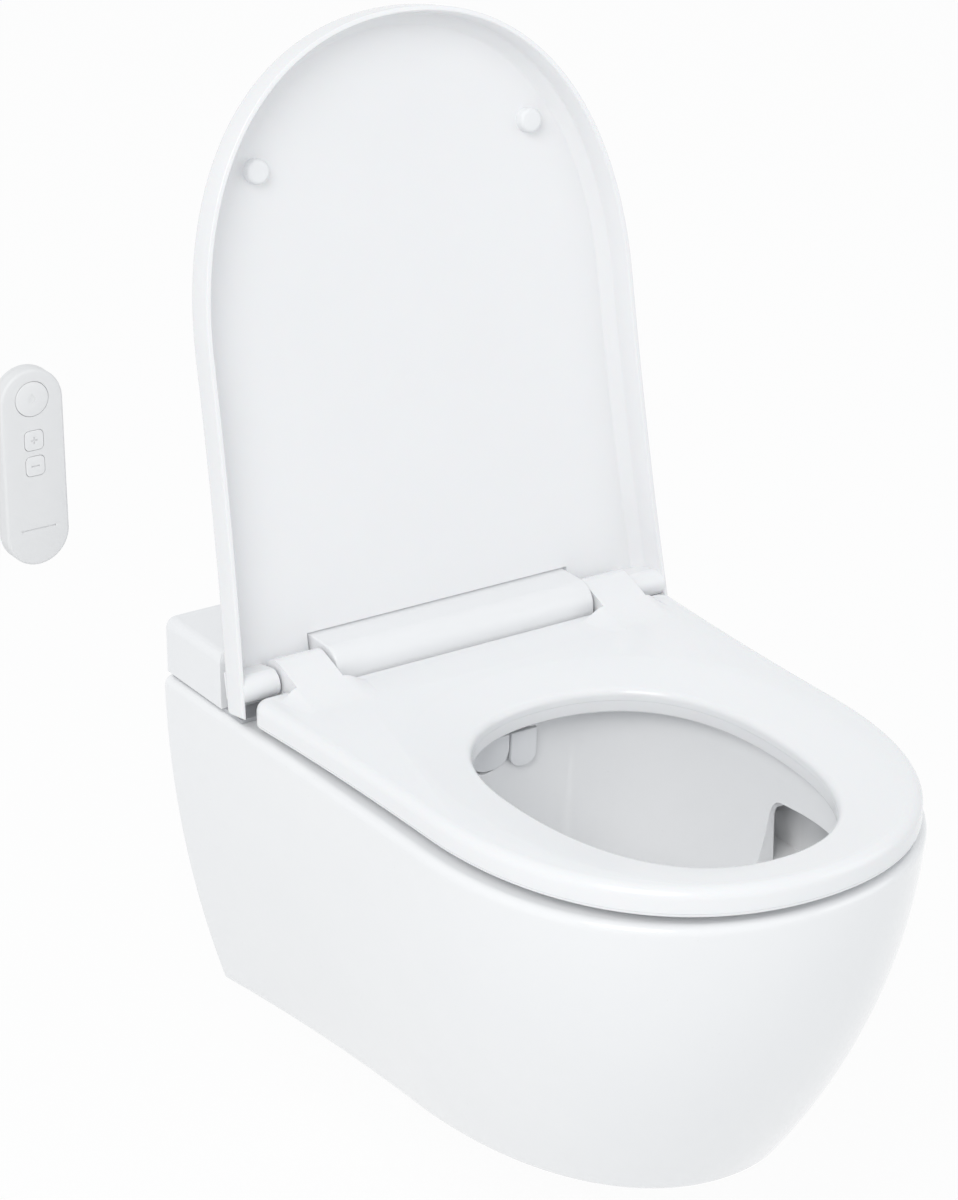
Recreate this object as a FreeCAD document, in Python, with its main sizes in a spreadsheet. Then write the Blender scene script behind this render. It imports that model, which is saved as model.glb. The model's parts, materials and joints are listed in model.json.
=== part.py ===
"""Wall-hung shower toilet with a heated seat, a lid and a remote control.

Frame: the origin lies on the wall, midway between the two fixing studs.
+X points right as seen from in front of the bowl, +Z up, and the bowl reaches out along -Y.
All sizes are in millimetres.
"""
import FreeCAD, Part
import math
import os
import re

doc = FreeCAD.newDocument("shower_toilet")
sheet = doc.addObject("Spreadsheet::Sheet", "Sizes")

DRIVING = [
    # ceramic pan
    ("rim_level", 80), ("pan_drop", 267), ("pan_reach", 560), ("pan_half", 180), ("pan_wall_half", 184),
    ("pan_side", 348), ("foot_reach", 462), ("foot_half", 125), ("foot_wall_half", 141), ("foot_side", 248),
    ("foot_rise", 11), ("china", 9), ("front_full", 0.61), ("rim_round", 7), ("foot_round", 9),
    # bowl inside the pan
    ("bowl_centre", 330), ("bowl_half", 112), ("rim_band", 40),
    ("bowl_front", "=pan_reach - bowl_centre - rim_band"), ("bowl_back", 124), ("egg_full", 0.64),
    ("bowl_curve", 2.2), ("sump_centre", 302), ("sump_half", 42), ("sump_level", -98), ("sump_bottom", -176),
    # waterways
    ("trap_bore", 25), ("trap_run", 225), ("trap_crown", -58), ("trap_crown_back", 178),
    ("outlet_level", -100), ("outlet_radius", 51),
    ("outlet_length", 45), ("outlet_recess", 3), ("trap_wall", 8), ("inlet_level", 35), ("inlet_bore", 27.5),
    ("seal_bore", 22.5), ("seal_length", 30), ("inlet_deep", 60), ("duct_bore", 12), ("duct_level", 24.6),
    ("duct_knee_side", 104), ("duct_knee_reach", 112), ("duct_side", 142), ("duct_reach", 240),
    ("port_side", 124), ("port_half", 12), ("port_reach", 355), ("port_deep", 30), ("niche_long", 95),
    ("niche_floor", -4), ("niche_top", 47),
    ("niche_rise", 11), ("niche_round", 16),
    # fixing to the wall
    ("bolt_side", 77.5), ("bolt_back", 60), ("bolt_radius", 4), ("bolt_long", 40), ("bolt_head", 6.5),
    ("bush_radius", 10), ("bush_long", 20),
    ("stud_spacing", 180), ("back_plate", 14), ("back_plate_drop", 118), ("sleeve_radius", 10),
    ("sleeve_bore", 6.5), ("sleeve_flange", 16), ("flange_thick", 4), ("fit_gap", 0.3),
    # housing behind the seat
    ("housing_half", 181), ("housing_reach", 80), ("housing_top", 46), ("housing_round", 8),
    ("cover_wall", 2.5),
    ("base_plate", 3), ("base_reach", 104), ("bar_half", 111), ("bar_reach", 128), ("bar_top", 48),
    ("bar_round", 16), ("part_gap", 0.4),
    # hinge line
    ("hinge_reach", 108), ("hinge_level", 29), ("knuckle", 15.5), ("knuckle_inner", 113),
    ("knuckle_outer", 151),
    ("lid_knuckle", 10), ("lid_knuckle_inner", 153), ("pin_radius", 5), ("pin_inner", 61), ("pin_outer", 172),
    ("running_gap", 0.05), ("bush_wall", 2), ("damper_radius", 11), ("damper_length", 44),
    ("lug_thick", 4), ("frame_half", 105), ("frame_deep", 30), ("press_gap", 0.02), ("bar_end_round", 2),
    # works inside the housing
    ("supply_side", 148), ("supply_level", 104), ("supply_radius", 8.3), ("supply_long", 16),
    ("supply_bore", 5),
    ("supply_window", 15), ("valve_wide", 34), ("valve_deep", 26), ("valve_tall", 30), ("coil_radius", 7),
    ("coil_tall", 7), ("heater_side", 20), ("heater_wide", 96), ("heater_deep", 38), ("heater_tall", 34),
    ("heater_back", 6), ("pump_side", 26), ("pump_back", 62), ("pump_radius", 12), ("pump_long", 34),
    ("board_side", 8), ("board_wide", 100), ("board_deep", 44), ("board_thick", 1.6), ("board_lift", 6),
    ("board_back", 6), ("power_side", -145), ("power_wide", 56), ("power_deep", 34), ("power_tall", 14),
    ("power_back", 26), ("gland_radius", 8), ("gland_long", 22), ("cable_bore", 3.6), ("edge_round", 4),
    ("tube_radius", 3.5), ("drive_deep", 20), ("drive_tall", 22),
    # seat
    ("seat_half", 172.6), ("seat_back_half", 179.8), ("seat_side", 345), ("seat_reach", 562),
    ("seat_rear", 120.5),
    ("seat_notch", 131), ("seat_lift", 7), ("seat_thick", 20), ("seat_round", 8), ("seat_base", 3),
    ("seat_skin", 2.5), ("seat_corner", 12), ("seat_front_band", 49), ("opening_centre", 350),
    ("opening_half", 105.6), ("opening_front", "=seat_reach - opening_centre - seat_front_band"),
    ("opening_back", 128), ("dish_width", 42), ("dish_depth", 9), ("lip_round", 6), ("lip_clear", 0.6),
    ("lip_wall", 6),
    ("ramp_reach", 176), ("mat_thick", 0.8), ("mat_inset", 10),
    ("bumper_radius", 9), ("bumper_rear_side", 150), ("bumper_rear_reach", 190), ("bumper_front_side", 112),
    ("bumper_front_band", 92), ("bumper_front_reach", "=seat_reach - bumper_front_band"),
    # lid
    ("lid_gap", 1.9), ("lid_wall", 4), ("lid_reach", "=seat_reach + lid_gap + lid_wall"), ("lid_tail", 20),
    ("lid_out", 20), ("lid_plate", 3.5), ("lid_deep", 28.8), ("lid_round", 10), ("lid_open", 99.5),
    ("lid_drop", 1.5), ("lid_notch", 23.5), ("lid_bumper_clear", 21), ("lid_bumper_reach", 361),
    ("lid_bumper_radius", 9), ("lid_inner_round", 3), ("lid_tail_round", 6),
    ("arm_clear", 1),
    # spray arms
    ("spray_side", -22.5), ("spray_reach", 210), ("spray_level", 65.5), ("spray_slope", 3),
    ("guide_half", 23),
    ("guide_tall", 15), ("guide_long", 132), ("rear_arm_side", -14), ("front_arm_side", 15), ("rear_arm", 6),
    ("front_arm", 5), ("arm_wall", 1.5), ("arm_long", 112), ("rear_shield_half", 16.5),
    ("front_shield_half", 11),
    ("shield_up", 8.5), ("rear_shield_drop", 17), ("front_shield_drop", 20), ("shield_thick", 3),
    ("rear_shield_round", 14), ("front_shield_round", 9.5), ("shield_edge", 0.8), ("shield_room", 1),
    ("slide_gap", 0.3), ("jet_radius", 1),
    # remote control on its own wall holder
    ("remote_side", -288.5), ("remote_level", 273), ("remote_half", 24.2), ("remote_half_tall", 73),
    ("remote_thick", 14.6), ("remote_round", 2.2), ("remote_wall", 1.6), ("holder_thick", 4),
    ("holder_half", 15),
    ("holder_half_tall", 50), ("holder_screws", 64), ("holder_screw_bore", 2.2), ("magnet_radius", 8),
    ("magnet_thick", 3), ("keeper_thick", 1.2), ("cell_radius", 10), ("cell_thick", 3.2), ("cell_down", 30),
    ("board_stand", 3.6), ("rubber_thick", 1), ("dome_tall", 1.2), ("dome_radius", 4),
    ("spray_button", 12.6), ("spray_button_up", 51.4), ("small_button", 7.2), ("small_round", 3.5),
    ("plus_up", 20.8), ("minus_up", 1.7), ("button_gap", 0.35), ("button_proud", 0.4), ("button_thick", 5),
    ("button_flange", 1.2), ("button_rim", 1.6), ("groove_down", 45.4), ("groove_long", 27),
    ("groove_wide", 1), ("groove_deep", 0.5),
]
for row, (alias, value) in enumerate(DRIVING, start=1):
    sheet.set(f"A{row}", alias)
    sheet.set(f"B{row}", str(value))
    sheet.setAlias(f"B{row}", alias)
doc.recompute()


class Sizes:
    """The sheet's values by name, for the shapes that are worked out here."""

    def __getattr__(self, alias):
        return float(sheet.get(alias))


S = Sizes()
ALIASES = {alias for alias, value in DRIVING}
NODES = []

Vector = FreeCAD.Vector
X_WAY = Vector(1, 0, 0)
Y_WAY = Vector(0, 1, 0)
Z_WAY = Vector(0, 0, 1)


# ---------------------------------------------------------------- helpers
def formula(text):
    """An expression on the sheet, written with the bare aliases."""
    return re.sub(r"[a-z_]+", lambda word: f"Sizes.{word.group()}"
                  if word.group() in ALIASES else word.group(),
                  str(text))


def bind(thing, **exprs):
    for name, text in exprs.items():
        thing.setExpression(name.replace("__", "."), formula(text))


def at(thing, x=0, y=0, z=0):
    bind(thing, Placement__Base__x=x, Placement__Base__y=y, Placement__Base__z=z)
    return thing


def box(name, wide, deep, tall, x, y, z):
    """A block from its lowest corner: x to the right, y towards the wall, z up."""
    block = doc.addObject("Part::Box", name)
    bind(block, Length=wide, Width=deep, Height=tall)
    return at(block, x, y, z)


def rod(name, radius, length, x, y, z, way=Z_WAY):
    """A round bar that starts at a point and runs along way."""
    bar = doc.addObject("Part::Cylinder", name)
    bar.Placement.Rotation = FreeCAD.Rotation(Z_WAY, way)
    bind(bar, Radius=radius, Height=length)
    return at(bar, x, y, z)


def cut(name, base, *tools):
    result = doc.addObject("Part::Cut", name)
    result.Base = base
    result.Tool = tools[0] if len(tools) == 1 else fuse(f"{name}_tools", *tools)
    return result


def fuse(name, *pieces):
    result = doc.addObject("Part::MultiFuse", name)
    result.Shapes = list(pieces)
    return result


def group(name, *pieces):
    """Separate solids that share one name, such as the two pins."""
    result = doc.addObject("Part::Compound", name)
    result.Links = list(pieces)
    return result


def mirrored(name, source):
    """The same piece on the other side of the middle plane."""
    result = doc.addObject("Part::Mirroring", name)
    result.Source = source
    result.Normal = X_WAY
    return result


def pair(name, source):
    return group(name, source, mirrored(f"{name}_other", source))


def tube(name, outer, bore, length, x, y, z, way=Z_WAY):
    return cut(name, rod(f"{name}_body", outer, length, x, y, z, way),
               rod(f"{name}_bore", bore, length, x, y, z, way))


def rounded(name, base, radius, chosen):
    """Rounds the edges of base for which chosen(edge) is true."""
    doc.recompute()
    result = doc.addObject("Part::Fillet", name)
    result.Base = base
    result.Edges = [(number, radius, radius) for number, edge in enumerate(base.Shape.Edges, 1)
                    if chosen(edge)]
    return result


def feature(name, shape):
    result = doc.addObject("Part::Feature", name)
    result.Shape = shape
    return result


def node(label, thing):
    thing.Label = label
    NODES.append(thing)
    return thing


def curve(*poles):
    line = Part.BezierCurve()
    line.setPoles(list(poles))
    return line.toShape()


def d_wire(half_back, half_front, back, side, reach, full, level, rise=0):
    """Flat D outline: straight back, nearly straight sides, full round front; it rises towards the front."""
    def spot(x, out):
        return Vector(x, -out, level + rise * out)

    def half(sign):
        handle = side + full * (reach - side)
        flank = curve(spot(sign * half_back, back), spot(sign * half_front, (back + side) / 2),
                      spot(sign * half_front, side))
        nose = curve(spot(sign * half_front, side), spot(sign * half_front, handle),
                     spot(sign * full * half_front, reach), spot(0, reach))
        return flank, nose

    left, left_nose = half(-1)
    right, right_nose = half(1)
    rear = Part.makeLine(spot(half_back, back), spot(-half_back, back))
    return Part.Wire([left, left_nose, right_nose, right, rear])


def egg_wire(centre, half, front, back, full, level):
    """Flat egg outline whose front and back halves have their own length."""
    def quarter(side, end, length):
        return curve(Vector(side * half, -centre, level),
                     Vector(side * half, -centre + end * full * length, level),
                     Vector(side * full * half, -centre + end * length, level),
                     Vector(0, -centre + end * length, level))

    return Part.Wire([quarter(-1, -1, front), quarter(1, -1, front), quarter(1, 1, back),
                      quarter(-1, 1, back)])


def prism(wire, tall):
    return Part.Face(wire).extrude(Z_WAY * tall)


def block(x_low, x_high, y_low, y_high, z_low, z_high):
    return Part.makeBox(x_high - x_low, y_high - y_low, z_high - z_low, Vector(x_low, y_low, z_low))


def flat_edge(edge, level):
    """True for an edge that lies at this height."""
    box_ = edge.BoundBox
    return abs(box_.ZMin - level) < 0.01 and abs(box_.ZMax - level) < 0.01


def bent_path(points, radii):
    """Straight runs joined by tangent arcs, through points of the middle plane or beside it."""
    edges = []
    start = points[0]
    for corner, after, radius in zip(points[1:-1], points[2:], radii):
        into = (corner - start).normalize()
        away = (after - corner).normalize()
        turn = into.getAngle(away)
        lead = radius * math.tan(turn / 2)
        first = corner - into * lead
        last = corner + away * lead
        inward = (away - into).normalize()
        middle = corner + inward * (radius / math.cos(turn / 2) - radius)
        edges += [Part.makeLine(start, first), Part.Arc(first, middle, last).toShape()]
        start = last
    edges.append(Part.makeLine(start, points[-1]))
    return Part.Wire(edges)


def pipe(path, radius):
    first = path.Edges[0]
    ring = Part.Wire(Part.makeCircle(radius, first.Vertexes[0].Point, first.tangentAt(first.FirstParameter)))
    return path.makePipeShell([ring], True, False)


# ---------------------------------------------------------------- ceramic pan
PAN_SHARES = [0, 0.2, 0.4, 0.6, 0.8, 1]
BOWL_SHARES = [0.15, 0.35, 0.55, 0.75, 0.9, 1]
PAST_WALL = 5


def pan_section(share, inset=0, back=0):
    """The pan's outline at a share of its height below the rim."""
    taper = share ** 2
    return d_wire(S.pan_wall_half - (S.pan_wall_half - S.foot_wall_half) * taper - inset,
                  S.pan_half - (S.pan_half - S.foot_half) * taper - inset,
                  back,
                  S.pan_side - (S.pan_side - S.foot_side) * share,
                  S.pan_reach - (S.pan_reach - S.foot_reach) * taper - inset,
                  S.front_full,
                  S.rim_level - share * S.pan_drop,
                  share * S.foot_rise / S.foot_reach)


def bowl_form(top_level, grow=0):
    """The space inside the bowl up to a level, or with grow the outside of its wall."""
    def egg(level):
        share = max(S.rim_level - level, 0) / (S.rim_level - S.sump_level)

        def between(rim, sump):
            return rim + (sump - rim) * share ** S.bowl_curve

        return egg_wire(between(S.bowl_centre, S.sump_centre), between(S.bowl_half, S.sump_half) + grow,
                        between(S.bowl_front, S.sump_half * 1.3) + grow,
                        between(S.bowl_back, S.sump_half * 1.2) + grow, S.egg_full, level)

    deep = S.rim_level - S.sump_level
    basin = Part.makeLoft([egg(top_level)] + [egg(S.rim_level - deep * share) for share in BOWL_SHARES], True)
    floor = S.sump_bottom - grow
    sump = Part.makeLoft([egg(S.sump_level),
                          egg_wire(S.sump_centre, S.sump_half * 0.8 + grow, S.sump_half + grow,
                                   S.sump_half * 0.9 + grow, S.egg_full, floor + S.sump_half * 0.35),
                          egg_wire(S.sump_centre, S.sump_half * 0.45, S.sump_half * 0.5,
                                   S.sump_half * 0.5, S.egg_full, floor)], True)
    return basin.fuse(sump)


def trap_path(end):
    """Centre line of the waste channel: back out of the sump, up over the crown and down to the wall."""
    low = S.sump_bottom + S.trap_bore + 1
    points = [Vector(0, -S.sump_centre, low),
              Vector(0, -S.trap_run, low),
              Vector(0, -S.trap_crown_back, S.trap_crown),
              Vector(0, -S.outlet_length - S.outlet_radius, S.outlet_level),
              Vector(0, end, S.outlet_level)]
    return bent_path(points, [S.trap_bore * 1.7, S.trap_bore * 1.9, S.trap_bore * 1.9])


def along_wall(radius, x, z, start, length):
    """A round bar that runs from the wall side into the pan."""
    return Part.makeCylinder(radius, length, Vector(x, start, z), Y_WAY * -1)


def duct_path():
    """Centre line of the flush duct: from the inlet round the right of the bowl to the port in its wall."""
    spots = [(0, S.inlet_deep - S.duct_bore / 2), (S.duct_knee_side, S.duct_knee_reach),
             (S.duct_side, S.duct_reach),
             (S.port_side, S.port_reach - S.port_deep / 2)]
    return bent_path([Vector(x, -out, S.duct_level) for x, out in spots], [S.duct_bore * 4, S.duct_bore * 5])


def port_form(grow=0):
    """The tall slot behind the pocket, into which the flush duct opens; grow gives its wall."""
    half = S.port_half + grow
    slot = block(S.port_side - half, S.port_side + half, -S.port_reach - grow - 1,
                 S.port_deep - S.port_reach + grow,
                 S.niche_floor - grow, S.niche_top - S.niche_round / 4 + grow)
    return slot.makeFillet(S.port_half - 1, [edge for edge in slot.Edges
                                             if edge.BoundBox.YLength > S.port_deep
                                             and edge.BoundBox.ZMin > S.duct_level])


def niche_form(grow=0):
    """The pocket in front of the flush port, which turns the water along the bowl; grow gives its wall."""
    def flat(x, out):
        return Vector(x, -out, S.niche_floor - S.china * 2)

    def side(out, level):
        return Vector(S.bowl_half / 2, -out, level)

    back = S.port_reach - grow
    front = S.port_reach + S.niche_long + grow
    deep = S.port_side + S.port_half + grow
    end = S.bowl_half - 2 * S.china + grow
    outer = curve(flat(deep, back), flat(deep, back + S.niche_long / 3),
                  flat(end + 2 * S.china, front - S.niche_long / 4),
                  flat(end, front))
    plan = Part.Wire([outer, *Part.makePolygon([flat(end, front), flat(S.bowl_half / 2, front),
                                                flat(S.bowl_half / 2, back), flat(deep, back)]).Edges])
    top = S.niche_top + grow
    low = S.niche_floor - grow
    turn = S.niche_round + grow
    corner = curve(side(back, top - turn), side(back, top), side(back + turn, top))
    section = Part.Wire([corner, *Part.makePolygon([side(back + turn, top), side(front, top + S.niche_rise),
                                                    side(front, low), side(back, low),
                                                    side(back, top - turn)]).Edges])
    return prism(plan, 2 * S.pan_drop).common(Part.Face(section).extrude(X_WAY * S.pan_half))


def spray_frame():
    """Where the spray arms leave the guide, with their slope."""
    return FreeCAD.Placement(Vector(S.spray_side, -S.spray_reach, S.spray_level),
                             FreeCAD.Rotation(X_WAY, S.spray_slope))


def shield_rooms():
    """Room in the bowl's wall for the shields at the mouth of the spray guide."""
    for arm_side, half, drop, turn in (
            (S.rear_arm_side, S.rear_shield_half, S.rear_shield_drop, S.rear_shield_round),
            (S.front_arm_side, S.front_shield_half, S.front_shield_drop, S.front_shield_round)):
        wide = half + S.shield_room
        room = block(arm_side - wide, arm_side + wide, -S.spray_reach / 8, 0, -drop - S.shield_room,
                     S.shield_up + S.shield_room)
        room = room.makeFillet(turn + S.shield_room, [edge for edge in room.Edges if edge.BoundBox.YLength > 1
                                                      and edge.BoundBox.ZMax < 0
                                                      and edge.BoundBox.XLength < 1])
        room.Placement = spray_frame()
        yield room


def glazed_body():
    """The pan's closed outer form, with its rounded rim and foot and its flat back."""
    body = Part.makeLoft([pan_section(share, 0, -PAST_WALL) for share in PAN_SHARES], True)
    body = body.makeFillet(S.rim_round, [edge for edge in body.Edges
                                         if flat_edge(edge, S.rim_level) and edge.BoundBox.YMin < -1])
    foot_top = S.rim_level - S.pan_drop + S.foot_rise + 1
    body = body.makeFillet(S.foot_round, [edge for edge in body.Edges
                                          if edge.BoundBox.ZMax < foot_top and edge.BoundBox.YMin < -1])
    return body.cut(block(-S.pan_reach, S.pan_reach, 0, 2 * PAST_WALL, -S.pan_reach, S.pan_reach))


def ceramic_pan():
    outer = glazed_body()
    thin = S.china / S.pan_drop
    inner_shares = [thin] + PAN_SHARES[1:-1] + [1 - thin]
    hollow = Part.makeLoft([pan_section(share, S.china, -PAST_WALL) for share in inner_shares], True)
    back_plate = outer.common(block(-S.pan_wall_half, S.pan_wall_half, -S.back_plate, 0,
                                    S.rim_level - S.back_plate_drop, S.rim_level))
    spray_bed = block(S.spray_side - S.guide_half - S.china, S.spray_side + S.guide_half + S.china,
                      -S.spray_reach, S.china - S.housing_reach,
                      S.spray_level - S.guide_tall / 2 - S.china, S.rim_level - 1)
    shield_bed = block(S.spray_side + S.rear_arm_side - S.rear_shield_half - S.china,
                       S.spray_side + S.front_arm_side + S.front_shield_half + S.china,
                       -S.spray_reach - S.china, 2 * S.china - S.spray_reach,
                       S.spray_level - S.rear_shield_drop - S.china, S.rim_level - 1)
    china = outer.cut(hollow)
    for piece in (back_plate, spray_bed, shield_bed, bowl_form(S.rim_level - 2, S.china),
                  pipe(trap_path(-S.outlet_recess), S.trap_bore + S.trap_wall),
                  along_wall(S.outlet_radius, 0, S.outlet_level, -S.outlet_recess, S.outlet_length),
                  along_wall(S.inlet_bore + S.china, 0, S.inlet_level, 0, S.inlet_deep + S.china),
                  pipe(duct_path(), S.duct_bore + S.trap_wall), niche_form(S.china), port_form(S.china)):
        china = china.fuse(piece)
    channel = block(-S.guide_half - S.fit_gap, S.guide_half + S.fit_gap, -S.china * 2,
                    S.guide_long + S.fit_gap,
                    -S.guide_tall / 2 - S.fit_gap, S.guide_tall * 2)
    channel.Placement = spray_frame()
    voids = [bowl_form(S.rim_level + 1), pipe(trap_path(1), S.trap_bore), channel,
             along_wall(S.outlet_radius - S.trap_wall, 0, S.outlet_level, 1, S.outlet_length - S.trap_wall),
             along_wall(S.inlet_bore, 0, S.inlet_level, 1, S.inlet_deep + 1),
             pipe(duct_path(), S.duct_bore), niche_form(), port_form(), *shield_rooms()]
    for side in (-1, 1):
        voids.append(along_wall(S.sleeve_radius + S.fit_gap, side * S.stud_spacing / 2, 0, 1,
                                S.back_plate + 2))
        voids.append(Part.makeCylinder(S.bush_radius + S.fit_gap, S.china * 3,
                                       Vector(side * S.bolt_side, -S.bolt_back, S.rim_level - S.china * 2)))
    for space in voids:
        china = china.cut(space)
    return china


node("ceramic_pan", feature("pan", ceramic_pan()))

# seals, sleeves and screws between the pan, the wall and the housing
node("inlet_seal", tube("inlet_lip", "inlet_bore - fit_gap", "seal_bore", "seal_length", 0, -2, "inlet_level",
                        Y_WAY * -1))
sleeve = fuse("sleeve",
              rod("sleeve_barrel", "sleeve_radius", "back_plate + flange_thick", "stud_spacing / 2", 0, 0,
                  Y_WAY * -1),
              rod("sleeve_collar", "sleeve_flange", "flange_thick", "stud_spacing / 2",
                  "-back_plate - fit_gap", 0,
                  Y_WAY * -1))
sleeve_hole = rod("sleeve_hole", "sleeve_bore", "3 * back_plate", "stud_spacing / 2", "back_plate", 0,
                  Y_WAY * -1)
node("fixing_sleeves", pair("sleeves", cut("bored_sleeve", sleeve, sleeve_hole)))
node("expanding_bushes", pair("bushes", tube("bush", "bush_radius", "bolt_radius + running_gap", "bush_long",
                                             "bolt_side", "-bolt_back", "rim_level - bush_long")))
bolt = fuse("bolt", rod("bolt_shank", "bolt_radius", "bolt_long", "bolt_side", "-bolt_back",
                        "rim_level + base_plate - bolt_long"),
            rod("bolt_cap", "bolt_head", 4, "bolt_side", "-bolt_back", "rim_level + base_plate"))
node("housing_bolts", pair("bolts", bolt))

# ---------------------------------------------------------------- housing
floor = "rim_level + base_plate"
base = fuse("base_tray",
            box("rear_floor", "2 * housing_half - 6", "base_reach - 2", "base_plate", "3 - housing_half",
                "-base_reach", "rim_level"),
            box("front_floor", "2 * bar_half - 6", "bar_reach - base_reach", "base_plate", "3 - bar_half",
                "2 - bar_reach", "rim_level"))
bolt_hole = rod("bolt_hole", "bolt_radius + fit_gap", 20, "bolt_side", "-bolt_back", "rim_level - 10")
node("housing_base", cut("base", base, bolt_hole, mirrored("bolt_hole_other", bolt_hole)))

cover_block = box("cover_block", "2 * housing_half", "housing_reach", "housing_top - base_plate - part_gap",
                  "-housing_half", "-housing_reach", f"{floor} + part_gap")
cover_skin = rounded("cover_skin", cover_block, S.housing_round,
                     lambda edge: edge.BoundBox.YMin < -1
                     and edge.BoundBox.ZMax > S.rim_level + S.housing_top - 1)
cover_room = box("cover_room", "2 * (housing_half - cover_wall)", "housing_reach - 2 * cover_wall",
                 "housing_top - base_plate - cover_wall", "cover_wall - housing_half",
                 "cover_wall - housing_reach",
                 f"{floor} - 1")
node("housing_cover", cut("cover", cover_skin, cover_room,
                          rod("water_window", "supply_window", 20, "supply_side", 10, "supply_level",
                              Y_WAY * -1),
                          rod("power_window", "gland_radius + part_gap", 20, "power_side", 10, "supply_level",
                              Y_WAY * -1)))

bar_block = box("bar_block", "2 * bar_half", "bar_reach - housing_reach - part_gap",
                "bar_top - base_plate - part_gap", "-bar_half", "-bar_reach", f"{floor} + part_gap")
bar_nose = rounded("bar_nose", bar_block, S.bar_round,
                   lambda edge: edge.BoundBox.YMax < 1 - S.bar_reach and edge.BoundBox.ZMin > S.rim_level
                   + S.bar_top - 1)
bar_skin = rounded("bar_skin", bar_nose, S.bar_end_round,
                   lambda edge: edge.BoundBox.XLength < 0.01 and edge.BoundBox.YMin < -S.housing_reach - 1
                   and edge.BoundBox.ZMax > S.rim_level + 10)
bar_room = box("bar_room", "2 * (bar_half - cover_wall)", "bar_reach - housing_reach",
               "bar_top - base_plate - cover_wall", "cover_wall - bar_half", "cover_wall - bar_reach",
               f"{floor} - 1")
bar_room_nose = rounded("bar_room_nose", bar_room, S.bar_round - S.cover_wall,
                        lambda edge: edge.BoundBox.YMax < 4 - S.bar_reach and edge.BoundBox.ZMin > S.rim_level
                        + S.bar_top - 4)
hinge_line = "rim_level + hinge_level"
node("hinge_bar_cover", cut("bar", bar_skin, bar_room_nose,
                            rod("bar_window", "pin_radius + part_gap", "4 * bar_half", "-2 * bar_half",
                                "-hinge_reach", hinge_line, X_WAY)))

# hinge frame, pins and dampers on the hinge line
lug_height = "hinge_level + pin_radius + 5 - base_plate"


def lug(name, x):
    return box(name, "lug_thick", "2 * pin_radius + 8", lug_height, x, "-hinge_reach - pin_radius - 4", floor)


frame_blank = fuse("frame_blank",
                   box("frame_floor", "2 * frame_half", "frame_deep", "lug_thick", "-frame_half",
                       "-hinge_reach - frame_deep / 2", floor),
                   lug("outer_lug_right", "frame_half - lug_thick"), lug("outer_lug_left", "-frame_half"),
                   lug("inner_lug_right", "pin_inner"), lug("inner_lug_left", "-pin_inner - lug_thick"),
                   lug("middle_lug_right", "pin_inner - damper_length - lug_thick"),
                   lug("middle_lug_left", "damper_length - pin_inner"))
pin_hole = rod("pin_hole", "pin_radius + press_gap", "frame_half", "pin_inner - damper_length / 8",
               "-hinge_reach",
               hinge_line, X_WAY)
node("hinge_frame", cut("frame", frame_blank, pin_hole, mirrored("pin_hole_other", pin_hole)))
node("hinge_pins", pair("pins", rod("pin", "pin_radius", "pin_outer - pin_inner - 1", "pin_inner + 1",
                                    "-hinge_reach", hinge_line, X_WAY)))
for label, start in (("lid_damper", "pin_inner - damper_length"), ("seat_damper", "-pin_inner")):
    node(label, fuse(f"{label}_body",
                     rod(f"{label}_barrel", "damper_radius", "damper_length - 6", f"{start} + 3",
                         "-hinge_reach",
                         hinge_line, X_WAY),
                     rod(f"{label}_neck", "pin_radius + 1", "damper_length", start, "-hinge_reach",
                         hinge_line,
                         X_WAY)))

# ---------------------------------------------------------------- works inside the housing
node("water_connector", cut("connector", fuse(
    "connector_blank",
    rod("connector_thread", "supply_radius", "supply_long + 4", "supply_side", -1, "supply_level",
        Y_WAY * -1),
    rod("connector_collar", "supply_radius + 5", 4, "supply_side", "-supply_long - 1", "supply_level",
        Y_WAY * -1)),
    rod("connector_bore", "supply_bore", "2 * supply_long", "supply_side", "supply_long / 4", "supply_level",
        Y_WAY * -1)))
valve_front = "supply_long + 5"
node("inlet_valve", fuse("valve",
                         box("valve_block", "valve_wide", "valve_deep", "valve_tall",
                             "supply_side - valve_wide / 2",
                             f"-({valve_front}) - valve_deep", floor),
                         rod("valve_coil", "coil_radius", "coil_tall", "supply_side",
                             f"-({valve_front}) - valve_deep / 2", f"{floor} + valve_tall")))
node("flow_heater", rounded("heater", box("heater_block", "heater_wide", "heater_deep", "heater_tall",
                                          "heater_side",
                                          "-heater_back - heater_deep", floor), S.edge_round,
                            lambda edge: edge.BoundBox.ZLength > 1))
node("water_pump", fuse("pump",
                        rod("pump_motor", "pump_radius", "pump_long", "pump_side", "-pump_back",
                            f"{floor} + pump_radius", X_WAY),
                        rod("pump_head", "pump_radius - 2", "pump_long / 3", "pump_side - pump_long / 3",
                            "-pump_back", f"{floor} + pump_radius", X_WAY)))
board_level = f"{floor} + board_lift"
node("control_board", fuse("board",
                           box("board_sheet", "board_wide", "board_deep", "board_thick",
                               "-board_side - board_wide",
                               "-board_back - board_deep", board_level),
                           box("board_relay", 18, 14, 15, "-board_side - 28", "-board_back - 22",
                               f"{board_level} + board_thick"),
                           box("board_chip", 14, 14, 2, "-board_side - 56", "-board_back - 30",
                               f"{board_level} + board_thick"),
                           rod("board_capacitor", 5, 12, "-board_side - 12", "-board_back - 40",
                               f"{board_level} + board_thick"),
                           *[box(f"board_post_{x}_{y}", 5, 5, "board_lift",
                                 f"-board_side - {x} * (board_wide - 5) - 5",
                                 f"-board_back - {y} * (board_deep - 5) - 5", floor)
                             for x in (0, 1) for y in (0, 1)]))
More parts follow.
